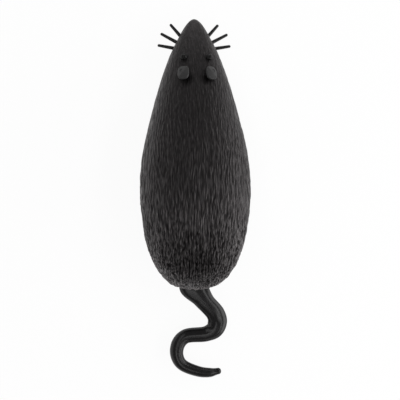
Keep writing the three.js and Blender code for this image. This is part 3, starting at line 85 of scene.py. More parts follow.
GAP = 0.3
FINE_GAP = 0.15
CUT = 1.0
SLOPE_STEP = 0.3
SHELL_WALL = 1.6
TRAY_FLOOR = 1.5
FLOOR_TOP = BELLY_HEIGHT + TRAY_FLOOR

# The skin that carries the fur: how far its highest points lie inside the nominal form, how far the
# CAD pieces are cut back under it, and how deep it goes
SKIN_INSET = 0.05
CORE_INSET = 0.7
SKIN_DEPTH = 0.9
ROWS = 210
BACK_COLUMNS = 450
BELLY_COLUMNS = 90
PLAIN_ROWS = 70
PLAIN_COLUMNS = 96
TABLE_STEPS = 4000
# How far the fine columns go on below the widest line, in radians
BACK_OVERLAP = 0.35

# Fur: locks of hair that lie lengthwise in staggered rows and stand up from a hollow ground
LOCK_SEED = 7
LOCK_ROW_PITCH = 1.5
LOCK_PITCH = 1.5
LOCK_JITTER = 0.34
LOCK_LENGTH = 3.0
LOCK_LENGTH_SPREAD = 1.3
LOCK_HALF_WIDTH = 0.36
LOCK_HALF_SPREAD = 0.1
LOCK_LEAN = 0.1
LOCK_LOW_SHARE = 0.25
# How blunt a lock's ends are: 0.5 is an ellipse, and less is blunter
LOCK_TAPER_POWER = 0.35
# Locks near the crest are longer by this share of their length, over this half width. They start
# to stretch this share of the way from nose to rump, and are full a further share behind it
CREST_STRETCH_SHARE = 1.2
CREST_HALF_WIDTH = 4.0
STRETCH_START_SHARE = 0.3
STRETCH_RUN_SHARE = 0.5
# How deep the ground lies under the locks, one value every 10% of the way from nose to rump
GROUND_DEPTHS = [0.03, 0.07, 0.1, 0.13, 0.16, 0.19, 0.24, 0.34, 0.48, 0.5, 0.28]
FLANK_DEPTH_SHARE = 0.25

# Painted shade on the rump, where its back turns down towards the tail: its middle, how far it reaches and
# its share of the tone round it
RUMP_SHADE_FROM_RUMP = 9.5
RUMP_SHADE_HEIGHT = 19.0
RUMP_SHADE_PLACE = (0.0, RUMP_Y + RUMP_SHADE_FROM_RUMP, RUMP_SHADE_HEIGHT)
RUMP_SHADE_REACH = 14.0
RUMP_SHADE_TONE = 0.32

# Painted shadow behind each ear's inner rear corner: how far it lies from the ear's middle along both
# its sides, how far it reaches and its share of the tone round it
EAR_SHADE_INWARD = 1.5
EAR_SHADE_BACK = 1.9
EAR_SHADE_REACH = 2.5
EAR_SHADE_TONE = 0.28

# The share of a painted shade patch's reach over which it keeps its full tone
SHADE_CORE_SHARE = 0.25

# Tail, as in the CAD source
TAIL_PEG_FROM_RUMP = 4.6
TAIL_ROOT_THICKNESS = 3.6
TAIL_WIDTH_SHARE = 0.25
TAIL_SIDE_SHARE = 0.2625
TAIL_Z = FLOOR_TOP + GAP + TAIL_ROOT_THICKNESS / 2
TAIL_DROOP = 3.4
TAIL_SWAY = 12.0
TAIL_SQUARE_SHARE = 0.3
# Sideways, back, width, thickness and how much of the droop is reached
TAIL_SHARES = [
    [0.03, -0.08, 1.42, 0.54, 0],
    [0.03, 0, 1.42, 0.54, 0],
    [0.44, 0.13, 1, 0.56, 0.15],
    [0.99, 0.293, 0.92, 0.58, 0.42],
    [1.09, 0.393, 0.94, 0.6, 0.68],
    [0.96, 0.485, 0.88, 0.61, 0.86],
    [0.59, 0.538, 0.755, 0.62, 0.97],
    [-0.345, 0.567, 0.705, 0.63, 1],
    [-0.66, 0.647, 0.69, 0.63, 1],
    [-0.748, 0.772, 0.65, 0.62, 1],
    [-0.533, 0.893, 0.585, 0.56, 1],
    [0.24, 0.985, 0.525, 0.51, 1],
    [0.76, 1, 0.46, 0.44, 1],
    [1.13, 0.985, 0.33, 0.31, 1],
]
TAIL_WIDTH_SHARES = [row[2] for row in TAIL_SHARES]
TAIL_THICKNESS_SHARES = [row[3] for row in TAIL_SHARES]
TAIL_RUN = (TOTAL_LENGTH - BODY_LENGTH) / (1 + TAIL_WIDTH_SHARE * TAIL_WIDTH_SHARES[-2] / 2)
TAIL_WIDTH = TAIL_RUN * TAIL_WIDTH_SHARE
TAIL_SIDE_REACH = TAIL_RUN * TAIL_SIDE_SHARE
TAIL_PEG_Y = RUMP_Y + TAIL_PEG_FROM_RUMP
# How finely the tail is drawn, its faint ridges, its round tip and how far it lies inside the CAD tail
TAIL_STATIONS = 220
TAIL_SIDES = 64
TAIL_RIDGES = 9
TAIL_RIDGE_SHARE = 0.02
TIP_BLUNT_SHARE = 0.95
TIP_POWER = 0.8
TAIL_INSET = 0.04
TIP_STATIONS = 10
TANGENT_STEP = 0.0001

# Whiskers, as in the CAD source
WHISKER_BEHIND_NOSE = 10.1
WHISKER_ROOT_RADIUS = 0.7
WHISKER_TIP_RADIUS = 0.44
# Degrees forward of straight sideways, and reach
WHISKERS = [(9.5, 11.4), (28, 11.7), (48.5, 11.2)]
HUB_CENTRE = Vector((0, NOSE_Y - WHISKER_BEHIND_NOSE, SEAM_HEIGHT))
HUB_RADIUS = 2.6
HUB_THICKNESS = 1.6
HUB_PEG_RADIUS = 0.8
WHISKER_SIDES = 24
SPIKE_STEPS = 6

# Eyes and ears, as in the CAD source
EYE_X = 3.7
EYE_BEHIND_NOSE = 12.85
EYE_RADIUS = 1.05
EYE_STEM_RADIUS = 0.5
EYE_STEM_LENGTH = 2.6
EAR_X = 4.45
EAR_BEHIND_NOSE = 17.35
EAR_LENGTH = 4.4
EAR_WIDTH = 3.45
EAR_POWER = 2.8
EAR_THICKNESS = 1.0
EAR_TILT = 16.0
EAR_ROOT_SHARE = 0.34
EAR_UPRIGHT_SHARE = 0.6
EAR_STEM_RADIUS = 0.7
EAR_STEM_LENGTH = 2.6
STEM_SIDES = 28
# The ears' finer form: a domed face, a round rim, a thin lip where they meet the head, and how much
# of the outline is left at the middle of each face
EAR_DOME = 0.14
EAR_RIM_SHARE = 0.2
EAR_RIM_POWER = 0.7
EAR_LIP_THICKNESS = 0.25
EAR_LIP_POWER = 1.5
EAR_MIDDLE_SHARE = 0.001
EYE_RINGS = 12
EAR_RINGS = 12
EAR_SIDES = 72
BEAD_SIDES = 40

# Legs, as in the CAD source
LEG_COUNT = 5
LEG_PITCH = 8.0
FIRST_LEG_FROM_RUMP = 15.7
LEG_X = 9.8
LEG_RAIL_WIDTH = 2.2
LEG_RAIL_THICKNESS = 1.6
LEG_RAIL_END = 1.8
LEG_ROOT_RADIUS = 0.85
LEG_TIP_RADIUS = 0.6
LEG_SLANT = 2.2
LEG_SIDES = 28
LEG_STEPS = 6
FOOT_ROUND = 0.2
RAIL_TOP = FLOOR_TOP + LEG_RAIL_THICKNESS

# Case screws' recesses, as in the CAD source
FRONT_SCREW_X = 6.3
FRONT_SCREW_BEHIND_NOSE = 19.6
REAR_SCREW_X = 9.8
REAR_SCREW_FROM_RUMP = 10.6
SCREW_PLACES = [
    (FRONT_SCREW_X, NOSE_Y - FRONT_SCREW_BEHIND_NOSE),
    (REAR_SCREW_X, RUMP_Y + REAR_SCREW_FROM_RUMP),
]
SCREW_RECESS_RADIUS = 1.9
SCREW_RECESS_TOP = 5.95
RECESS_SIDES = 24

SIDES = [("left", -1), ("right", 1)]
NODES = frame["nodes"]


def smooth(shares, place, odd=False):
    """A smooth curve through even shares, mirrored at its ends, and turned over there if odd."""
    shares = np.asarray(shares, float)
    last = len(shares) - 1
    sign = -1.0 if odd else 1.0
    padded = np.concatenate([[sign * shares[1]], shares, [sign * shares[-2]]])
    place = np.asarray(place, float)
    knot = np.clip(np.floor(place * last).astype(int), 0, last - 1)
    a, b, c, d = (padded[knot + i] for i in range(4))
    u = place * last - knot
    return b + 0.5 * u * (c - a + u * (2 * a - 5 * b + 4 * c - d + u * (3 * (b - c) + d - a)))


def station(share, inset):
    """The body's y, half width, rise, drop and widest height at a share of the half turn."""

    def within(size):
        return np.where(size > 0, size * size / np.maximum(size + inset, TINY), 0.0)

    widest = WIDEST_LOW + (WIDEST_HIGH - WIDEST_LOW) * smooth(WIDEST_SHARES, share)
    y = MIDDLE_Y + (BODY_LENGTH / 2 - inset) * np.cos(np.asarray(share) * math.pi)
    half = within(BODY_WIDTH / 2 * smooth(WIDTH_SHARES, share, True))
    rise = within(BACK_RISE * smooth(RISE_SHARES, share, True))
    drop = within(BELLY_DROP * smooth(DROP_SHARES, share, True))
    return y, half, rise, drop, widest


def body_points(shares, angles, inset):
    """The body's surface as an array of rows by columns by x, y, z."""
    y, half, rise, drop, widest = (np.asarray(v)[:, None] for v in station(shares, inset))
    cosine, sine = np.cos(angles)[None, :], np.sin(angles)[None, :]
    power = 2 / np.where(sine >= 0, BACK_POWER, BELLY_POWER)
    x = half * np.sign(cosine) * np.abs(cosine) ** power
    z = widest + np.where(sine >= 0, rise, -drop) * np.abs(sine) ** power
    return np.stack([x, np.broadcast_to(y, x.shape), z], axis=-1)


def back_height(x, y):
    """The height of the back's nominal face over a place in plan."""
    share = math.acos((y - MIDDLE_Y) / (BODY_LENGTH / 2)) / math.pi
    _, half, rise, _, widest = (float(v) for v in station(share, 0.0))
    across = min(abs(x) / half, 1)
    return widest + rise * (1 - across**BACK_POWER) ** (1 / BACK_POWER)


def back_normal(x, y):
    step = SLOPE_STEP
    slope_x = (back_height(x + step, y) - back_height(x - step, y)) / (2 * step)
    slope_y = (back_height(x, y + step) - back_height(x, y - step)) / (2 * step)
    return Vector((-slope_x, -slope_y, 1)).normalized()


def split_evenly(fine, curve, count):
    """The values along a finely sampled curve that split it into even lengths."""
    run = np.concatenate([[0], np.cumsum(np.linalg.norm(np.diff(curve, axis=0), axis=1))])
    places = np.interp(np.linspace(0, run[-1], count), run, np.arange(len(run)))
    return np.interp(places, np.arange(len(run)), fine)


def even_shares(count):
    """Shares of the half turn, so that rows lie evenly along the back's crest."""
    fine = np.linspace(0, 1, TABLE_STEPS)
    return split_evenly(fine, body_points(fine, np.array([math.pi / 2]), 0.0)[:, 0], count)


def even_angles(count, start, end):
    """Angles round the widest section, so that columns lie evenly round it."""
    fine = np.linspace(start, end, TABLE_STEPS)
    return split_evenly(fine, body_points(np.array([0.5]), fine, 0.0)[0], count)


def add_object(name, data):
    made = bpy.data.objects.new(name, data)
    bpy.context.scene.collection.objects.link(made)
    return made


def make_mesh(name, points, faces):
    """An object from points in millimetres and faces."""
    mesh = bpy.data.meshes.new(name)
    mesh.from_pydata((np.asarray(points, float) * MM).tolist(), [], faces)
    mesh.validate()
    return add_object(name, mesh)


def grid_faces(rows, columns):
    """The quads of a grid whose rows close on themselves."""
    row, column = np.meshgrid(np.arange(rows - 1), np.arange(columns), indexing="ij")
    after = (column + 1) % columns
    corners = [row * columns + column, row * columns + after]
    corners += [(row + 1) * columns + after, (row + 1) * columns + column]
    return np.stack(corners, axis=-1).reshape(-1, 4).tolist()


def face_outwards(made, join=False):
    """Turns every face of a closed mesh outwards, and first joins its doubled points on request."""
    shape = bmesh.new()
    shape.from_mesh(made.data)
    if join:
        bmesh.ops.remove_doubles(shape, verts=shape.verts, dist=SAME_POINT)
    bmesh.ops.recalc_face_normals(shape, faces=shape.faces)
    shape.to_mesh(made.data)
    shape.free()
    return made


def capped_loft(name, rings, start, end):
    """A closed skin over rings of points that end in two tips."""
    rings = np.asarray(rings, float)
    rows, columns = rings.shape[:2]
    points = np.concatenate([rings.reshape(-1, 3), [start], [end]])
    faces = grid_faces(rows, columns)
    first, last = rows * columns, rows * columns + 1
    base = (rows - 1) * columns
    for i in range(columns):
        after = (i + 1) % columns
        faces.append([first, after, i])
        faces.append([last, base + i, base + after])
    return face_outwards(make_mesh(name, points, faces))


def combine(made, other, operation):
    """Joins, cuts or trims a mesh with another one, which is then removed."""
    step = made.modifiers.new("combine", "BOOLEAN")
    step.operation = operation
    step.solver = "MANIFOLD"
    step.object = other
    settled = bpy.context.evaluated_depsgraph_get()
    fresh = bpy.data.meshes.new_from_object(made.evaluated_get(settled))
    made.modifiers.clear()
    old = made.data
    made.data = fresh
    bpy.data.meshes.remove(old)
    bpy.data.objects.remove(other)
    return made


def core_of(node_name):
    """A closed copy of a CAD node, to be trimmed and joined to a new skin."""
    return face_outwards(add_object("core", NODES[node_name].data.copy()), join=True)


def block(name, x0, x1, y0, y1, z0, z1):
    xs, ys, zs = (x0, x1), (y0, y1), (z0, z1)
    points = [(x, y, z) for x in xs for y in ys for z in zs]
    faces = [[0, 1, 3, 2], [4, 6, 7, 5], [0, 4, 5, 1], [2, 3, 7, 6], [0, 2, 6, 4], [1, 5, 7, 3]]
    return face_outwards(make_mesh(name, points, faces))


def slab(name, z0, z1):
    return block(name, -BODY_WIDTH, BODY_WIDTH, -TOTAL_LENGTH, TOTAL_LENGTH, z0, z1)


def quarter_turn(steps):
    """The sines and cosines of even steps over a quarter of a turn, without its start."""
    angles = [math.pi / 2 * i / steps for i in range(1, steps + 1)]
    return [(math.sin(angle), math.cos(angle)) for angle in angles]


def ring_about(centre, turn, radius, sides, along=0):
    """Points evenly round an axis through a centre, at a place along it."""
    angles = [2 * math.pi * i / sides for i in range(sides)]
    return [centre + turn @ Vector((radius * math.cos(a), radius * math.sin(a), along)) for a in angles]


def bar(name, start, end, radius, sides):
    """A round bar between two points."""
    turn = (end - start).to_track_quat("Z", "Y")
    rings = [ring_about(centre, turn, radius, sides) for centre in (start, end)]
    return capped_loft(name, rings, start, end)


def turned_rings(profile, sides):
    """Rings of points about Z, one for each (radius, height) of a profile."""
    angles = np.arange(sides) * 2 * math.pi / sides
    ring = np.stack([np.cos(angles), np.sin(angles), np.zeros(sides)], axis=-1)
    return np.array([radius * ring + (0, 0, height) for radius, height in profile])


def lock_table(length, reach):
    """Locks of hair as rows of place along, place round, length, half width, lean and height share."""
    spread = np.random.default_rng(LOCK_SEED)
    across = int(reach / LOCK_PITCH) + 1
    locks = []
    for row in range(-1, int(length / LOCK_ROW_PITCH) + 2):
        stagger = 0.5 * (row % 2)
        rearward = (row * LOCK_ROW_PITCH / length - STRETCH_START_SHARE) / STRETCH_RUN_SHARE
        rearward = min(max(rearward, 0), 1)
        for i in range(-across, across + 1):
            beside = (i + stagger) * LOCK_PITCH
            stretch = 1 + CREST_STRETCH_SHARE * rearward * math.exp(-((beside / CREST_HALF_WIDTH) ** 2))
            locks.append(
                [
                    (row + spread.uniform(-0.5, 0.5)) * LOCK_ROW_PITCH,
                    beside + spread.normal(0, LOCK_JITTER),
                    (LOCK_LENGTH + spread.uniform(-1, 1) * LOCK_LENGTH_SPREAD) * stretch,
                    LOCK_HALF_WIDTH + spread.uniform(-1, 1) * LOCK_HALF_SPREAD,
                    spread.normal(0, LOCK_LEAN),
                    spread.uniform(LOCK_LOW_SHARE, 1),
                ]
            )
    return np.array(locks)


def fur_depths(points):
    """How deep the surface lies under the tops of the locks at each of its points, rows by columns."""
    rows, columns = points.shape[:2]
    crest_column = int(np.argmax(points[rows // 2, :, 2]))
    crest = points[:, crest_column]
    along = np.concatenate([[0], np.cumsum(np.linalg.norm(np.diff(crest, axis=0), axis=1))])
    steps = np.linalg.norm(np.diff(points, axis=1), axis=2)
    round_run = np.concatenate([np.zeros((rows, 1)), np.cumsum(steps, axis=1)], axis=1)
    around = round_run - round_run[:, crest_column][:, None]
    girth = np.abs(around).max()
    locks = lock_table(along[-1], girth)
    depths = np.zeros((rows, columns))
    for row in range(rows):
        reach = (along[row] - locks[:, 0]) / (locks[:, 2] / 2)
        near, reach = locks[np.abs(reach) < 1], reach[np.abs(reach) < 1]
        taper = (1 - reach**2) ** LOCK_TAPER_POWER
        centre = near[:, 1] + near[:, 4] * (along[row] - near[:, 0])
        across = (around[row][None, :] - centre[:, None]) / (near[:, 3] * taper)[:, None]
        profile = np.where(np.abs(across) < 1, 1 - across**2, 0)
        height = (profile * (near[:, 5] * taper)[:, None]).max(axis=0)
        ground = np.interp(along[row] / along[-1], np.linspace(0, 1, len(GROUND_DEPTHS)), GROUND_DEPTHS)
        flank = 1 + FLANK_DEPTH_SHARE * np.clip(2 * np.abs(around[row]) / girth, 0, 1) ** 2
        depths[row] = (1 - height) * ground * flank
    return depths


def fur_form(name):
    """The whole body as a closed form, with the fur's locks raised on it."""
    shares = even_shares(ROWS + 2)[1:-1]
    back = even_angles(BACK_COLUMNS, -BACK_OVERLAP, math.pi + BACK_OVERLAP)
    belly = even_angles(BELLY_COLUMNS, math.pi + BACK_OVERLAP, 2 * math.pi - BACK_OVERLAP)[1:-1]
    angles = np.concatenate([back, belly])
    points = body_points(shares, angles, SKIN_INSET)
    along_step = np.gradient(points, axis=0)
    round_step = np.gradient(points, axis=1)
    normals = np.cross(along_step, round_step)
    normals /= np.maximum(np.linalg.norm(normals, axis=2, keepdims=True), TINY)
    middle = points.mean(axis=1, keepdims=True)
    facing = np.sign(((points - middle) * normals).sum(axis=2, keepdims=True))
    points = points - normals * facing * fur_depths(points)[:, :, None]
    return capped_loft(name, points, tip_point(0.0, SKIN_INSET), tip_point(1.0, SKIN_INSET))


def tip_point(share, inset):
    y, _, _, _, widest = (float(v) for v in station(share, inset))
    return (0.0, y, widest)


def plain_form(name, inset):
    """The body's smooth form, drawn in by an inset."""
    shares = even_shares(PLAIN_ROWS + 2)[1:-1]
    angles = np.linspace(0, 2 * math.pi, PLAIN_COLUMNS, endpoint=False)
    points = body_points(shares, angles, inset)
    return capped_loft(name, points, tip_point(0.0, inset), tip_point(1.0, inset))


# Pieces

def unite(parts):
    made = parts[0]
    for part in parts[1:]:
        made = combine(made, part, "UNION")
    return made


def whisker_ways():
    """Each whisker's direction and reach from the hub's centre."""
    for _, sign in SIDES:
        for degrees, reach in WHISKERS:
            angle = math.radians(degrees)
            yield Vector((sign * math.cos(angle), math.sin(angle), 0)), reach


def whisker_holes():
    radius = WHISKER_ROOT_RADIUS + GAP
    return [
        bar("hole", HUB_CENTRE + way * HUB_RADIUS, HUB_CENTRE + way * reach, radius, WHISKER_SIDES)
        for way, reach in whisker_ways()
    ]


def tail_slot():
    neck = TAIL_WIDTH * TAIL_WIDTH_SHARES[0] / 2 + GAP
    swing = TAIL_PEG_FROM_RUMP * math.sin(math.radians(TAIL_SWAY))
    half, rise = neck + swing, TAIL_ROOT_THICKNESS / 2 + GAP
    return block("slot", -half, half, RUMP_Y - CUT, TAIL_PEG_Y, TAIL_Z - rise, TAIL_Z + rise)


def eye_place(sign):
    x, y = sign * EYE_X, NOSE_Y - EYE_BEHIND_NOSE
    return Vector((x, y, back_height(x, y))), back_normal(x, y)


def ear_place(sign):
    x, y = sign * EAR_X, NOSE_Y - EAR_BEHIND_NOSE
    out = back_normal(x, y).lerp(Vector((0, 0, 1)), EAR_UPRIGHT_SHARE).normalized()
    return Vector((x, y, back_height(x, y))), out


def stem_hole(place, radius):
    at, out = place
    depth = SHELL_WALL + CUT
    return bar("hole", at + out * CUT, at - out * depth, radius + FINE_GAP, STEM_SIDES)


def furred(node_name, slabs, cuts):
    """A half of the body: the inside of its CAD node under a fine skin that carries the fur."""
    skin = fur_form(f"{node_name}_fur")
    for beyond in slabs:
        skin = combine(skin, beyond, "DIFFERENCE")
    skin = combine(skin, plain_form("inside", SKIN_DEPTH), "DIFFERENCE")
    skin = combine(skin, unite(whisker_holes() + [tail_slot()] + cuts), "DIFFERENCE")
    core = combine(core_of(node_name), plain_form("trim", CORE_INSET), "INTERSECT")
    return combine(skin, core, "UNION")


def back_shell():
    stems = []
    for _, sign in SIDES:
        stems.append(stem_hole(eye_place(sign), EYE_STEM_RADIUS))
        stems.append(stem_hole(ear_place(sign), EAR_STEM_RADIUS))
    return furred("back_shell", [slab("below", -CUT, SEAM_HEIGHT)], stems)


def leg_slots():
    """The slots of the legs in the tray, as in the CAD source."""
    half = LEG_ROOT_RADIUS + GAP
    cuts = []
    for _, sign in SIDES:
        x = sign * LEG_X
        for i in range(LEG_COUNT):
            rear = leg_y(i) - leg_lean(BELLY_HEIGHT) - half
            front = leg_y(i) - leg_lean(FLOOR_TOP) + half
            cuts.append(block("slot", x - half, x + half, rear, front, BELLY_HEIGHT - CUT, FLOOR_TOP + CUT))
    return cuts


def screw_recesses():
    cuts = []
    for _, sign in SIDES:
        for x, y in SCREW_PLACES:
            bottom, top = (Vector((sign * x, y, z)) for z in (BELLY_HEIGHT - CUT, SCREW_RECESS_TOP))
            cuts.append(bar("recess", bottom, top, SCREW_RECESS_RADIUS, RECESS_SIDES))
    return cuts


def belly_tray():
    slabs = [slab("above", SEAM_HEIGHT, CREST_HEIGHT + CUT), slab("below", -CUT, BELLY_HEIGHT)]
    return furred("belly_tray", slabs, leg_slots() + screw_recesses())


def tail_points():
    return [
        Vector((aside * TAIL_SIDE_REACH, RUMP_Y - back * TAIL_RUN, TAIL_Z - TAIL_DROOP * droop))
        for aside, back, _, _, droop in TAIL_SHARES
    ]


def curve_point(points, place):
    """A point of the centripetal Catmull-Rom curve through the points, as the CAD source draws it."""
    last = len(points) - 1
    knot = min(int(place * last), last - 1)
    u = place * last - knot
    p1, p2 = points[knot], points[knot + 1]
    p0 = points[knot - 1] if knot > 0 else 2 * p1 - p2
    p3 = points[knot + 2] if knot + 2 <= last else 2 * p2 - p1
    d0, d1, d2 = ((b - a).length ** 0.5 for a, b in ((p0, p1), (p1, p2), (p2, p3)))
    t1 = ((p1 - p0) / d0 - (p2 - p0) / (d0 + d1) + (p2 - p1) / d1) * d1
    t2 = ((p2 - p1) / d1 - (p3 - p1) / (d1 + d2) + (p3 - p2) / d2) * d1
    return p1 + t1 * u + (3 * (p2 - p1) - 2 * t1 - t2) * u**2 + (2 * (p1 - p2) + t1 + t2) * u**3


def curve_tangent(points, place):
    low, high = max(place - TANGENT_STEP, 0), min(place + TANGENT_STEP, 1)
    return (curve_point(points, high) - curve_point(points, low)).normalized()


def tail_ring(points, place, ahead, shrink):
    """One section of the tail, moved ahead along it and drawn in for the round tip."""
    up = Vector((0, 0, 1))
    at = curve_point(points, place) + curve_tangent(points, place) * ahead
    square = max(1 - place / TAIL_SQUARE_SHARE, 0)
    side = curve_tangent(points, place).lerp(Vector((0, -1, 0)), square).cross(up).normalized()
    half = (TAIL_WIDTH / 2 * float(smooth(TAIL_WIDTH_SHARES, place)) - TAIL_INSET) * shrink
    thick = (TAIL_WIDTH / 2 * float(smooth(TAIL_THICKNESS_SHARES, place)) - TAIL_INSET) * shrink
    ring = []
    for j in range(TAIL_SIDES):
        angle = -2 * math.pi * j / TAIL_SIDES
        ridge = 1 - TAIL_RIDGE_SHARE * (1 - math.cos(TAIL_RIDGES * angle)) / 2
        ring.append(at + side * (ridge * half * math.cos(angle)) + up * (ridge * thick * math.sin(angle)))
    return ring


def tail():
    """The round S of the tail, with the CAD tail's eye and neck inside the rump."""
    points = tail_points()
    rings = [tail_ring(points, i / TAIL_STATIONS, 0, 1) for i in range(TAIL_STATIONS + 1)]
    tip_length = (TAIL_WIDTH / 2 * TAIL_WIDTH_SHARES[-1] - TAIL_INSET) * TIP_BLUNT_SHARE
    for sine, cosine in quarter_turn(TIP_STATIONS)[:-1]:
        rings.append(tail_ring(points, 1, tip_length * sine, cosine**TIP_POWER))
    end = curve_point(points, 1) + curve_tangent(points, 1) * tip_length
    skin = capped_loft("tail_rubber", rings, points[0], end)
    root = points[0].y - GAP - FINE_GAP
    trim = block("trim", -TAIL_WIDTH, TAIL_WIDTH, root, 0, 0, CREST_HEIGHT)
    return combine(skin, combine(core_of("tail"), trim, "INTERSECT"), "UNION")


def whisker(way, reach):
    """A tapered round spike with a rounded tip, which starts inside the hub."""
    start = HUB_CENTRE + way * (HUB_RADIUS / 2)
    turn = way.to_track_quat("Z", "Y")
    length = reach - HUB_RADIUS / 2
    root, tip = WHISKER_ROOT_RADIUS, WHISKER_TIP_RADIUS
    body = length - tip
    places = []
    for i in range(SPIKE_STEPS + 1):
        share = i / SPIKE_STEPS
        places.append((body * share, root + (tip - root) * share))
    places += [(body + tip * sine, tip * cosine) for sine, cosine in quarter_turn(SPIKE_STEPS)[:-1]]
    rings = [ring_about(start, turn, radius, WHISKER_SIDES, along) for along, radius in places]
    return capped_loft("whisker", rings, start, start + way * length)


def whiskers():
    rise = Vector((0, 0, HUB_THICKNESS / 2))
    star = bar("whiskers_rubber", HUB_CENTRE - rise, HUB_CENTRE + rise, HUB_RADIUS, 2 * WHISKER_SIDES)
    for way, reach in whisker_ways():
        star = combine(star, whisker(way, reach), "UNION")
    bottom, top = HUB_CENTRE - 2 * rise, HUB_CENTRE + 2 * rise
    return combine(star, bar("hole", bottom, top, HUB_PEG_RADIUS + FINE_GAP, WHISKER_SIDES), "DIFFERENCE")


def set_on(made, place, lift):
    """Stands a piece made about the origin on a place of the back, facing the way it faces."""
    at, out = place
    turn = Vector((0, 0, 1)).rotation_difference(out).to_matrix().to_4x4()
    made.data.transform(Matrix.Translation((at + out * lift) * MM) @ turn)
    return made


def eye(side, sign):
    """A half bead over the stem that holds it."""
    profile = [(EYE_RADIUS * sine, EYE_RADIUS * cosine) for sine, cosine in quarter_turn(EYE_RINGS)]
    profile += [(EYE_STEM_RADIUS, 0), (EYE_STEM_RADIUS, -EYE_STEM_LENGTH)]
    start, end = (0, 0, EYE_RADIUS), (0, 0, -EYE_STEM_LENGTH)
    bead = capped_loft(f"eye_{side}_bead", turned_rings(profile, BEAD_SIDES), start, end)
    return set_on(bead, eye_place(sign), GAP)


def ear_profile():
    """The ear's section from the middle of its top over its round rim to the middle below."""
    profile = []
    rim = EAR_RIM_SHARE
    edge = EAR_THICKNESS - EAR_DOME
    for i in range(EAR_RINGS):
        reach = i / EAR_RINGS
        profile.append((reach * (1 - rim), edge + EAR_DOME * (1 - reach**2)))
    for i in range(EAR_RINGS + 1):
        angle = math.pi * i / EAR_RINGS
        profile.append((1 - rim + rim * math.sin(angle) ** EAR_RIM_POWER, edge / 2 * (1 + math.cos(angle))))
    for i in range(1, EAR_RINGS):
        profile.append(((1 - rim) * (1 - i / EAR_RINGS), 0.0))
    return profile


def ear_leaf(side, sign):
    """A soft leaf with a round rim and a domed face, and how far each of its points belongs to its root."""
    rings, roots = [], []
    angles = np.arange(EAR_SIDES) * 2 * math.pi / EAR_SIDES
    cosine, sine = np.cos(angles), np.sin(angles)
    outline_x = EAR_WIDTH / 2 * np.sign(cosine) * np.abs(cosine) ** (2 / EAR_POWER)
    outline_y = EAR_LENGTH / 2 * np.sign(sine) * np.abs(sine) ** (2 / EAR_POWER)
    from_root = 0.5 - EAR_ROOT_SHARE
    for reach, height in ear_profile():
        x = outline_x * max(reach, EAR_MIDDLE_SHARE) - sign * EAR_WIDTH * from_root
        y = outline_y * max(reach, EAR_MIDDLE_SHARE) - EAR_LENGTH * from_root
        rings.append(np.stack([x, y, np.full(EAR_SIDES, height)], axis=-1))
        roots.append(np.clip((sign * cosine + sine) / math.sqrt(2), 0, 1) * reach)
    rings = np.array(rings)
    start, end = rings[0].mean(axis=0), rings[-1].mean(axis=0)
    return capped_loft(f"ear_{side}_rubber", rings, start, end), np.array(roots).ravel()


def ear(side, sign):
    """The leaf stands up at its inner rear corner, and its front and outer edges run down to the head."""
    leaf, roots = ear_leaf(side, sign)
    lifted = Vector((-sign, -1, 0)).normalized()
    tilt = math.radians(EAR_TILT)
    lift = GAP + math.hypot(EAR_LENGTH, EAR_WIDTH) * EAR_ROOT_SHARE * math.sin(tilt)
    heights = [corner.co.z / MM / EAR_THICKNESS for corner in leaf.data.vertices]
    leaf.data.transform(Matrix.Rotation(tilt, 4, lifted.cross(Vector((0, 0, 1)))))
    leaf = set_on(leaf, ear_place(sign), lift)
    for corner, root, height in zip(leaf.data.vertices, roots, heights):
        x, y, z = corner.co / MM
        lip = back_height(x, y) + height * EAR_LIP_THICKNESS
        corner.co.z = (z + (lip - z) * root**EAR_LIP_POWER) * MM
    top, bottom = Vector((0, 0, EAR_THICKNESS / 2)), Vector((0, 0, EAR_THICKNESS / 2 - EAR_STEM_LENGTH))
    stem = bar("stem", bottom, top, EAR_STEM_RADIUS, STEM_SIDES)
    return combine(leaf, set_on(stem, ear_place(sign), lift), "UNION")


def leg_y(i):
    return RUMP_Y + FIRST_LEG_FROM_RUMP + i * LEG_PITCH


def leg_lean(z):
    return LEG_SLANT * (RAIL_TOP - z) / RAIL_TOP


def leg(x, y):
    """One leg, slanting back from the rail's top to the floor, with a rounded foot."""
    rings = []
    for i in range(LEG_STEPS + 1):
        z = RAIL_TOP - (RAIL_TOP - FOOT_ROUND) * i / LEG_STEPS
        radius = LEG_TIP_RADIUS + (LEG_ROOT_RADIUS - LEG_TIP_RADIUS) * z / RAIL_TOP
        rings.append((z, radius))
    for sine, cosine in quarter_turn(LEG_STEPS):
        rings.append((FOOT_ROUND * (1 - sine), LEG_TIP_RADIUS - FOOT_ROUND * (1 - cosine)))
    angles = [2 * math.pi * i / LEG_SIDES for i in range(LEG_SIDES)]
    points = []
    for z, radius in rings:
        middle = y - leg_lean(z)
        points.append([(x + radius * math.cos(a), middle + radius * math.sin(a), z) for a in angles])
    start, end = (x, y, RAIL_TOP), (x, y - LEG_SLANT, 0)
    return capped_loft("leg", points, start, end)


def leg_strip(side, sign):
    x = sign * LEG_X
    half = LEG_RAIL_WIDTH / 2
    rear, front = leg_y(0) - LEG_RAIL_END, leg_y(LEG_COUNT - 1) + LEG_RAIL_END
    strip = block(f"legs_{side}_rubber", x - half, x + half, rear, front, FLOOR_TOP, RAIL_TOP)
    for i in range(LEG_COUNT):
        strip = combine(strip, leg(x, leg_y(i)), "UNION")
    return strip


# Materials

# The shell's hair lines, along which highlights and shade are painted: noise of this size in millimetres,
# stretched along the body, with its values in the middle of a dark and of a light line
HAIR_SIZE = 0.42
HAIR_STRETCH = (1, 0.14, 1)
HAIR_DEPTH = 0.1
HAIR_SPAN = (0.4, 0.66)
# Shares of the tone in painted shade lines and in painted highlight lines, each on the snout and on the
# rump
PAINTED_SHADE_SHARES = (0.77, 0.1)
PAINTED_HIGHLIGHT_SHARES = (0.97, 5.6)
# How much of the way from the snout's lines to the rump's the flanks add, as painted light on the flanks
PAINTED_FLANK_SHARE = 0.06
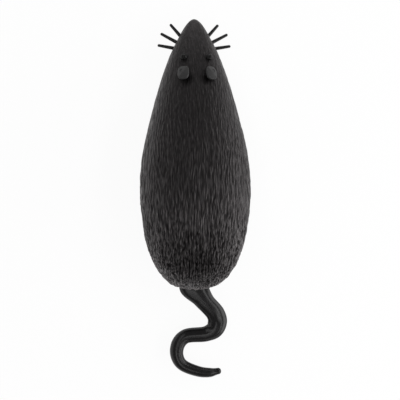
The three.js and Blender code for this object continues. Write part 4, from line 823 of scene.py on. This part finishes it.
# The hollows between locks, with painted shade in them: how folded in the surface is where they are darkest
# and where they end
HOLLOW_SHADE_SPAN = (0.46, 0.52)
HOLLOW_SHADE_TONE = 0.25
SHELL_SHINE = 0.27
SHELL_SHEEN = 0.155
WARM_TINT = (1, 0.93, 0.94, 1)


def new_material(name):
    made = bpy.data.materials.new(name)
    made.use_nodes = True
    return made, made.node_tree


def feed(tree, socket, value):
    """Gives an input a plain value or another node's output."""
    if isinstance(value, bpy.types.NodeSocket):
        tree.links.new(value, socket)
    else:
        socket.default_value = value


def node(tree, kind, values=None):
    """A node with its inputs and settings by name."""
    made = tree.nodes.new(kind)
    for name, value in (values or {}).items():
        if name in made.inputs:
            feed(tree, made.inputs[name], value)
        else:
            setattr(made, name, value)
    return made


def place_in(tree, stretch=(1, 1, 1)):
    """The place on the piece in metres, stretched along its axes."""
    place = node(tree, "ShaderNodeTexCoord").outputs["Object"]
    return node(tree, "ShaderNodeMapping", {"Vector": place, "Scale": stretch}).outputs["Vector"]


def noise(tree, place, size, detail=2.0, roughness=0.5):
    """Noise of a given size in millimetres, from 0 to 1."""
    values = {"Vector": place, "Scale": 1 / (size * MM), "Detail": detail, "Roughness": roughness}
    return node(tree, "ShaderNodeTexNoise", values).outputs["Fac"]


def spread_over(tree, factor, low, high, start=0.3, end=0.7):
    """A number between low and high that follows a factor between start and end."""
    values = {"Value": factor, "From Min": start, "From Max": end, "To Min": low, "To Max": high}
    return node(tree, "ShaderNodeMapRange", values).outputs["Result"]


def tones(tree, factor, colours, span=(0.25, 0.75)):
    """A colour that goes from one tone to the other while a factor goes over a span."""
    ramp = node(tree, "ShaderNodeValToRGB", {"Fac": factor})
    for mark, position, colour in zip(ramp.color_ramp.elements, span, colours):
        mark.position = position
        mark.color = (*colour, 1)
    return ramp.outputs["Color"]


def bumps(tree, layers):
    """A normal from layers of (height, depth in millimetres), one over the other."""
    normal = None
    for height, depth in layers:
        layer = node(tree, "ShaderNodeBump", {"Height": height, "Strength": 1.0, "Distance": depth * MM})
        if normal is not None:
            tree.links.new(normal, layer.inputs["Normal"])
        normal = layer.outputs["Normal"]
    return normal


def maths(tree, operation, *numbers):
    """An operation on numbers, each a plain one or another node's output."""
    made = node(tree, "ShaderNodeMath", {"operation": operation})
    for socket, number in zip(made.inputs, numbers):
        feed(tree, socket, number)
    return made.outputs[0]


def product(tree, first, second):
    return maths(tree, "MULTIPLY", first, second)


def finish(made, colour, roughness, layers, more=None):
    """Gives a material's shader its colour, roughness and layers of bumps, and more inputs by name."""
    tree = made.node_tree
    values = {"Base Color": colour, "Roughness": roughness, "Normal": bumps(tree, layers)}
    for name, value in (values | (more or {})).items():
        feed(tree, tree.nodes["Principled BSDF"].inputs[name], value)
    return made


def painted_shade_spot(tree, place, spot, reach, tone):
    """The share of the tone about a spot, as painted shade: lowest round it, and one past its reach."""
    away = node(tree, "ShaderNodeVectorMath", {"operation": "DISTANCE", "Vector": place})
    away.inputs[1].default_value = Vector(spot) * MM
    core = reach * SHADE_CORE_SHARE
    return spread_over(tree, away.outputs["Value"], tone, 1, core * MM, reach * MM)


def ear_shade_place():
    """The spot behind the right ear's inner rear corner, on the back, where its shadow is painted."""
    x, y = EAR_X - EAR_SHADE_INWARD, NOSE_Y - EAR_BEHIND_NOSE - EAR_SHADE_BACK
    return x, y, back_height(x, y)


def painted_shade_spots(tree, place):
    """The share of the tone in the painted shade on the rump and behind both ears."""
    # Painted shade on the rump, where it turns down towards the tail
    rump_shade = painted_shade_spot(tree, place, RUMP_SHADE_PLACE, RUMP_SHADE_REACH, RUMP_SHADE_TONE)
    mirrored = node(tree, "ShaderNodeVectorMath", {"operation": "ABSOLUTE", "Vector": place})
    place = mirrored.outputs["Vector"]
    # Painted shadow behind both ears, mirrored across the middle
    painted_ear_shadows = painted_shade_spot(tree, place, ear_shade_place(), EAR_SHADE_REACH, EAR_SHADE_TONE)
    return product(tree, rump_shade, painted_ear_shadows)


def painted_hair_lines(tree, place, hairs):
    """The share of the tone along the hair lines: a faint change on the snout that grows into painted
    highlights and painted shade on the rump and, a little, on the flanks.
    """
    parts = node(tree, "ShaderNodeSeparateXYZ", {"Vector": place}).outputs
    rear = spread_over(tree, parts["Y"], 1, 0, RUMP_Y * MM, NOSE_Y * MM)
    squared = product(tree, rear, rear)
    aside = maths(tree, "ABSOLUTE", parts["X"])
    flank = spread_over(tree, aside, 0, PAINTED_FLANK_SHARE, 0, BODY_WIDTH / 2 * MM)
    wild = maths(tree, "ADD", product(tree, squared, squared), flank)
    dark, light = (spread_over(tree, wild, *shares, 0, 1) for shares in (PAINTED_SHADE_SHARES, PAINTED_HIGHLIGHT_SHARES))
    return spread_over(tree, hairs, dark, light, *HAIR_SPAN)


def shell_plastic():
    """Black moulded plastic with a random tone, painted highlights and shade along its hair lines, and
    painted shade in its hollows and patches.
    """
    made, tree = new_material("shell_plastic")
    place = place_in(tree)
    hairs = noise(tree, place_in(tree, HAIR_STRETCH), HAIR_SIZE, 3)
    grain = noise(tree, place, 0.12, 2)
    worn = tones(tree, noise(tree, place, 3.5, 3), [(0.0036, 0.0033, 0.0034), (0.0077, 0.0071, 0.0073)])
    folded = node(tree, "ShaderNodeNewGeometry").outputs["Pointiness"]
    # Painted shade in the hollows between the locks, which also dims their shine and sheen
    hollow_shade = spread_over(tree, folded, HOLLOW_SHADE_TONE, 1, *HOLLOW_SHADE_SPAN)
    # Painted highlights and shade along the hair lines
    lines = painted_hair_lines(tree, place, hairs)
    # Painted light and shade, which scales the colour, the shine and the sheen alike
    painted_light_and_shade = product(tree, product(tree, hollow_shade, lines), painted_shade_spots(tree, place))
    values = {"operation": "SCALE", "Vector": worn, "Scale": painted_light_and_shade}
    colour = node(tree, "ShaderNodeVectorMath", values).outputs["Vector"]
    roughness = spread_over(tree, noise(tree, place, 1.6, 4), 0.36, 0.52)
    more = {
        "Specular IOR Level": product(tree, painted_light_and_shade, SHELL_SHINE),
        "Sheen Weight": product(tree, painted_light_and_shade, SHELL_SHEEN),
        "Specular Tint": WARM_TINT,
        "Sheen Tint": WARM_TINT,
    }
    return finish(made, colour, roughness, [(hairs, HAIR_DEPTH), (grain, 0.008)], more)


def tray_plastic():
    """The belly's black plastic, with a fine spark-eroded grain and faint scuffs."""
    made, tree = new_material("tray_plastic")
    place = place_in(tree)
    grain = noise(tree, place, 0.16, 3, 0.6)
    scuffs = noise(tree, place_in(tree, (1, 0.2, 1)), 1.4, 5, 0.7)
    colour = tones(tree, noise(tree, place, 5, 3), [(0.011, 0.011, 0.011), (0.017, 0.017, 0.017)])
    return finish(made, colour, spread_over(tree, scuffs, 0.42, 0.62), [(grain, 0.018)])


def soft_rubber():
    """Smooth black thermoplastic rubber with a satin skin and faint flow marks."""
    made, tree = new_material("soft_rubber")
    place = place_in(tree)
    flow = noise(tree, place, 2.2, 4, 0.55)
    grain = noise(tree, place, 0.1, 2)
    colour = tones(tree, flow, [(0.004, 0.0037, 0.0038), (0.0075, 0.007, 0.0072)])
    roughness = spread_over(tree, noise(tree, place, 0.9, 4), 0.19, 0.27)
    return finish(made, colour, roughness, [(flow, 0.03), (grain, 0.003)], {"Specular IOR Level": 0.25})


def ear_rubber():
    """The ears' rubber: the same black, rougher, with its tones painted paler for the light its flaps
    catch.
    """
    made, tree = new_material("ear_rubber")
    place = place_in(tree)
    skin_noise = noise(tree, place, 0.7, 4, 0.6)
    grain = noise(tree, place, 0.1, 2)
    # Painted light: tones paler than the other rubber's, for the light the ears catch
    colour = tones(tree, skin_noise, [(0.007, 0.0066, 0.0068), (0.012, 0.0113, 0.0115)])
    roughness = spread_over(tree, skin_noise, 0.5, 0.62)
    return finish(made, colour, roughness, [(skin_noise, 0.02), (grain, 0.004)], {"Specular IOR Level": 0.4})


def eye_gloss():
    """A polished black bead with the faintest handling marks."""
    made, tree = new_material("eye_gloss")
    place = place_in(tree)
    marks = noise(tree, place, 0.25, 4, 0.65)
    colour = tones(tree, noise(tree, place, 0.8, 2), [(0.003, 0.003, 0.003), (0.006, 0.0055, 0.0055)])
    roughness = spread_over(tree, marks, 0.2, 0.3)
    return finish(made, colour, roughness, [(marks, 0.001)], {"Specular IOR Level": 0.12})


def plated_metal(name, colours, low, high, stretch=(1, 1, 1), grain_size=0.15, grain_depth=0.003):
    """Metal with drifting tone, handling stains in its gloss and a fine grain."""
    made, tree = new_material(name)
    grain = noise(tree, place_in(tree, stretch), grain_size, 3)
    stains = noise(tree, place_in(tree), 1.8, 4, 0.6)
    roughness = spread_over(tree, noise(tree, place_in(tree, stretch), 0.5, 4), low, high)
    return finish(made, tones(tree, stains, colours), roughness, [(grain, grain_depth)], {"Metallic": 1.0})


def screw_steel():
    return plated_metal("screw_steel", [(0.42, 0.43, 0.46), (0.6, 0.61, 0.63)], 0.24, 0.42)


def cell_steel():
    colours = [(0.55, 0.56, 0.57), (0.68, 0.68, 0.68)]
    return plated_metal("cell_steel", colours, 0.2, 0.34, (1, 1, 0.08))


def contact_steel():
    colours = [(0.5, 0.5, 0.49), (0.66, 0.65, 0.63)]
    return plated_metal("contact_steel", colours, 0.22, 0.38, (0.1, 1, 1))


def motor_steel():
    colours = [(0.42, 0.43, 0.45), (0.56, 0.57, 0.59)]
    return plated_metal("motor_steel", colours, 0.24, 0.4, (1, 0.08, 1))


def bush_brass():
    colours = [(0.42, 0.28, 0.09), (0.58, 0.42, 0.16)]
    return plated_metal("bush_brass", colours, 0.3, 0.46, grain_size=0.08, grain_depth=0.006)


def weight_metal():
    colours = [(0.14, 0.14, 0.145), (0.25, 0.25, 0.26)]
    return plated_metal("weight_metal", colours, 0.36, 0.55, grain_size=0.1, grain_depth=0.01)


def coil_copper():
    """Varnished copper wire, wound in fine turns along the motor's length."""
    made, tree = new_material("coil_copper")
    turns = noise(tree, place_in(tree, (1, 9, 1)), 0.9, 1)
    stains = noise(tree, place_in(tree), 1.1, 4)
    colour = tones(tree, stains, [(0.3, 0.09, 0.03), (0.5, 0.19, 0.08)])
    varnish = {"Metallic": 1.0, "Coat Weight": 0.5}
    return finish(made, colour, spread_over(tree, stains, 0.26, 0.44), [(turns, 0.03)], varnish)


def magnet_grey():
    """Dark sintered magnet, with pores in its grain."""
    made, tree = new_material("magnet_grey")
    grain = noise(tree, place_in(tree), 0.09, 4, 0.7)
    colour = tones(tree, grain, [(0.03, 0.03, 0.033), (0.08, 0.08, 0.085)])
    return finish(made, colour, spread_over(tree, grain, 0.4, 0.62), [(grain, 0.012)], {"Metallic": 0.6})


def moulded(name, colours, low, high, grain_depth=0.008, more=None):
    """A small moulding: slight changes of tone, and a fine grain."""
    made, tree = new_material(name)
    place = place_in(tree)
    grain = noise(tree, place, 0.12, 3)
    drift = noise(tree, place, 1.5, 4)
    roughness = spread_over(tree, drift, low, high)
    return finish(made, tones(tree, drift, colours), roughness, [(grain, grain_depth)], more)


def pale_nylon():
    milky = {"Subsurface Weight": 0.15, "Subsurface Scale": MM}
    return moulded("pale_nylon", [(0.68, 0.64, 0.55), (0.82, 0.79, 0.71)], 0.38, 0.54, more=milky)


def wafer_brown():
    """Pressed phenolic paper, with its fibres across it."""
    made, tree = new_material("wafer_brown")
    fibres = noise(tree, place_in(tree, (1, 0.25, 1)), 0.2, 4, 0.7)
    colour = tones(tree, fibres, [(0.1, 0.045, 0.018), (0.2, 0.1, 0.042)])
    return finish(made, colour, spread_over(tree, fibres, 0.42, 0.6), [(fibres, 0.01)])


def lead_red():
    return moulded("lead_red", [(0.3, 0.012, 0.008), (0.42, 0.025, 0.016)], 0.34, 0.48, 0.004)


def lead_black():
    return moulded("lead_black", [(0.006, 0.006, 0.006), (0.012, 0.012, 0.012)], 0.34, 0.48, 0.004)


def lead_blue():
    return moulded("lead_blue", [(0.008, 0.035, 0.2), (0.016, 0.06, 0.3)], 0.34, 0.48, 0.004)


# The CAD nodes that stay, by material, with the bevel on their edges in millimetres
KEPT_NODES = {
    "screw_steel": (
        [f"case_screw_{end}_{side}" for end in ("front", "rear") for side in ("left", "right")]
        + ["door_screw", "clamp_screw_left", "clamp_screw_right"],
        0.06,
    ),
    "tray_plastic": (["battery_door"], 0.15),
    "cell_steel": (["button_cell_1", "button_cell_2", "button_cell_3"], 0.25),
    "contact_steel": (["negative_plate", "positive_plate", "negative_spring"], 0.06),
    "motor_steel": (["motor_can", "motor_shaft", "motor_clamp", "switch_frame"], 0.1),
    "bush_brass": (["motor_bush"], 0.06),
    "magnet_grey": (["motor_magnet"], 0.08),
    "coil_copper": (["motor_coil"], 0.08),
    "weight_metal": (["eccentric_weight"], 0.15),
    "pale_nylon": (["motor_end_cap", "switch_slider", "switch_button"], 0.12),
    "wafer_brown": (["switch_wafer"], 0.06),
    "lead_red": (["lead_red"], 0.0),
    "lead_black": (["lead_black"], 0.0),
    "lead_blue": (["lead_blue"], 0.0),
}
WELD_DISTANCE = 0.001
SMOOTH_ANGLE = 35.0
SHALLOW_ANGLE = 62.0
EDGE_SEGMENTS = 3


def shade(made, degrees):
    """Smooth shading, but for edges that turn by more than an angle."""
    made.data.shade_smooth()
    made.data.set_sharp_from_angle(angle=math.radians(degrees))


def dress_kept_node(made, material, bevel):
    """Joins a CAD node's corners, rounds its edges and gives it its material."""
    join = made.modifiers.new("join", "WELD")
    join.merge_threshold = WELD_DISTANCE * MM
    if bevel:
        edges = made.modifiers.new("edges", "BEVEL")
        edges.width = bevel * MM
        edges.segments = EDGE_SEGMENTS
        edges.limit_method = "ANGLE"
        edges.angle_limit = math.radians(SMOOTH_ANGLE)
    made.data.shade_smooth()
    made.modifiers.new("soft", "WEIGHTED_NORMAL").keep_sharp = True
    made.data.materials.clear()
    made.data.materials.append(material)


def dress_piece(made, node_name, body, material, degrees):
    """Gives a new piece its material and shading, and puts it in place of its CAD node."""
    made.data.materials.clear()
    made.data.materials.append(material)
    shade(made, degrees)
    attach(made, body)
    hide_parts(node_name)


def dress_all():
    shell, tray, rubber, gloss = shell_plastic(), tray_plastic(), soft_rubber(), eye_gloss()
    paler_ear_rubber = ear_rubber()
    dress_piece(back_shell(), "back_shell", "case", shell, SHALLOW_ANGLE)
    dress_piece(belly_tray(), "belly_tray", "case", tray, SHALLOW_ANGLE)
    dress_piece(tail(), "tail", "tail", rubber, SMOOTH_ANGLE)
    dress_piece(whiskers(), "whisker_star", "case", rubber, SMOOTH_ANGLE)
    for side, sign in SIDES:
        dress_piece(eye(side, sign), f"eye_{side}", "case", gloss, SMOOTH_ANGLE)
        dress_piece(ear(side, sign), f"ear_{side}", "case", paler_ear_rubber, SHALLOW_ANGLE)
        dress_piece(leg_strip(side, sign), f"leg_strip_{side}", "case", rubber, SMOOTH_ANGLE)
    makers = [screw_steel, cell_steel, contact_steel, motor_steel, bush_brass, magnet_grey, coil_copper]
    makers += [weight_metal, pale_nylon, wafer_brown, lead_red, lead_black, lead_blue]
    by_name = {material.name: material for material in [tray] + [maker() for maker in makers]}
    for slot, (names, bevel) in KEPT_NODES.items():
        for name in names:
            dress_kept_node(NODES[name], by_name[slot], bevel)


# Stage, lamps and camera

FLOOR_RADIUS = 1500.0
WALL_HEIGHT = 430.0
WALL_BEND = 300.0
# Radii of the rings that divide the flat floor
FLOOR_RINGS = (1.0, 500.0)
FLOOR_SIDES = 96
BEND_STEPS = 12
FLOOR_TONES = (0.86, 0.88)
FLOOR_ROUGHNESS = 0.9
GLOW_SHARE = 0.93
WORLD_TONE = (0.25, 0.25, 0.252)
VIEW_TARGET = (1.8, -0.28, 8.0)
VIEW_DISTANCE = 340.6
VIEW_LEAN = 5.5
LENS = 100.0
# Metres from the camera between which it sees
CLIP_SPAN = (0.01, 20)
# Lamps: place, aim, size in millimetres, and power in watts
LAMPS = {
    "left_box": ((-402, -40, 120), (0, -10, 10), (760, 220), 0.45),
    "left_strip": ((-140, -40, 400), (0, -10, 10), (760, 90), 0.5),
    "right_box": ((402, -40, 120), (0, -10, 10), (760, 220), 1.55),
    "right_strip": ((250, -40, 345), (0, -10, 10), (760, 90), 0.88),
    "front_box": ((0, 520, 160), (0, 40, 10), (420, 180), 0.8),
    "tail_box": ((8, -128, 300), (6, -52, 8), (90, 90), 0.065),
}


def backdrop_material():
    """A pale floor and wall that look white as a background, and still take the object's shadow."""
    made, tree = new_material("backdrop_paper")
    shader = tree.nodes["Principled BSDF"]
    fibres = noise(tree, place_in(tree), 1.2, 3)
    colour = tones(tree, fibres, [(tone, tone, tone) for tone in FLOOR_TONES])
    feed(tree, shader.inputs["Base Color"], colour)
    feed(tree, shader.inputs["Roughness"], FLOOR_ROUGHNESS)
    glow = node(tree, "ShaderNodeEmission", {"Color": (1, 1, 1, 1), "Strength": 1.0})
    rays = node(tree, "ShaderNodeLightPath").outputs
    seen = maths(tree, "MAXIMUM", rays["Is Camera Ray"], rays["Is Glossy Ray"])
    seen = maths(tree, "MAXIMUM", seen, rays["Is Transmission Ray"])
    mix = node(tree, "ShaderNodeMixShader", {"Fac": product(tree, seen, GLOW_SHARE)})
    feed(tree, mix.inputs[1], shader.outputs["BSDF"])
    feed(tree, mix.inputs[2], glow.outputs["Emission"])
    feed(tree, tree.nodes["Material Output"].inputs["Surface"], mix.outputs["Shader"])
    return made


def backdrop():
    """A round pale floor that curves up into a low wall."""
    profile = [(radius, 0) for radius in FLOOR_RINGS]
    for sine, cosine in [(0, 1)] + quarter_turn(BEND_STEPS):
        profile.append((FLOOR_RADIUS - WALL_BEND + WALL_BEND * sine, WALL_BEND * (1 - cosine)))
    profile.append((FLOOR_RADIUS, WALL_HEIGHT))
    points = np.concatenate([turned_rings(profile, FLOOR_SIDES).reshape(-1, 3), [(0, 0, 0)]])
    faces = grid_faces(len(profile), FLOOR_SIDES)
    centre = len(points) - 1
    faces += [[centre, i, (i + 1) % FLOOR_SIDES] for i in range(FLOOR_SIDES)]
    made = make_mesh("backdrop", points, faces)
    made.data.materials.append(backdrop_material())
    shade(made, SHALLOW_ANGLE)


def lamps():
    for name, (place, aim, size, power) in LAMPS.items():
        light = bpy.data.lights.new(name, "AREA")
        light.shape = "RECTANGLE"
        light.size, light.size_y = (length * MM for length in size)
        light.energy = power
        holder = add_object(name, light)
        holder.location = Vector(place) * MM
        toward = Vector(aim) - Vector(place)
        holder.rotation_mode = "QUATERNION"
        holder.rotation_quaternion = toward.to_track_quat("-Z", "Y")
        holder.visible_camera = False


def world():
    """A dim even dome round the stage."""
    made = bpy.data.worlds.new("dome")
    made.use_nodes = True
    made.node_tree.nodes["Background"].inputs["Color"].default_value = (*WORLD_TONE, 1)
    bpy.context.scene.world = made


def camera():
    """Looks down on the back from a little to its left, with the nose at the top of the picture."""
    lens = bpy.data.cameras.new("camera")
    lens.lens = LENS
    lens.clip_start, lens.clip_end = CLIP_SPAN
    holder = add_object("camera", lens)
    lean = math.radians(VIEW_LEAN)
    back = Vector((-math.sin(lean), 0, math.cos(lean)))
    up = Vector((0, 1, 0))
    turn = Matrix((up.cross(back), up, back)).transposed().to_4x4()
    place = Vector(VIEW_TARGET) + back * VIEW_DISTANCE
    holder.matrix_world = Matrix.Translation(place * MM) @ turn
    bpy.context.scene.camera = holder


dress_all()
backdrop()
lamps()
world()
camera()
bpy.context.scene.view_settings.view_transform = "Standard"
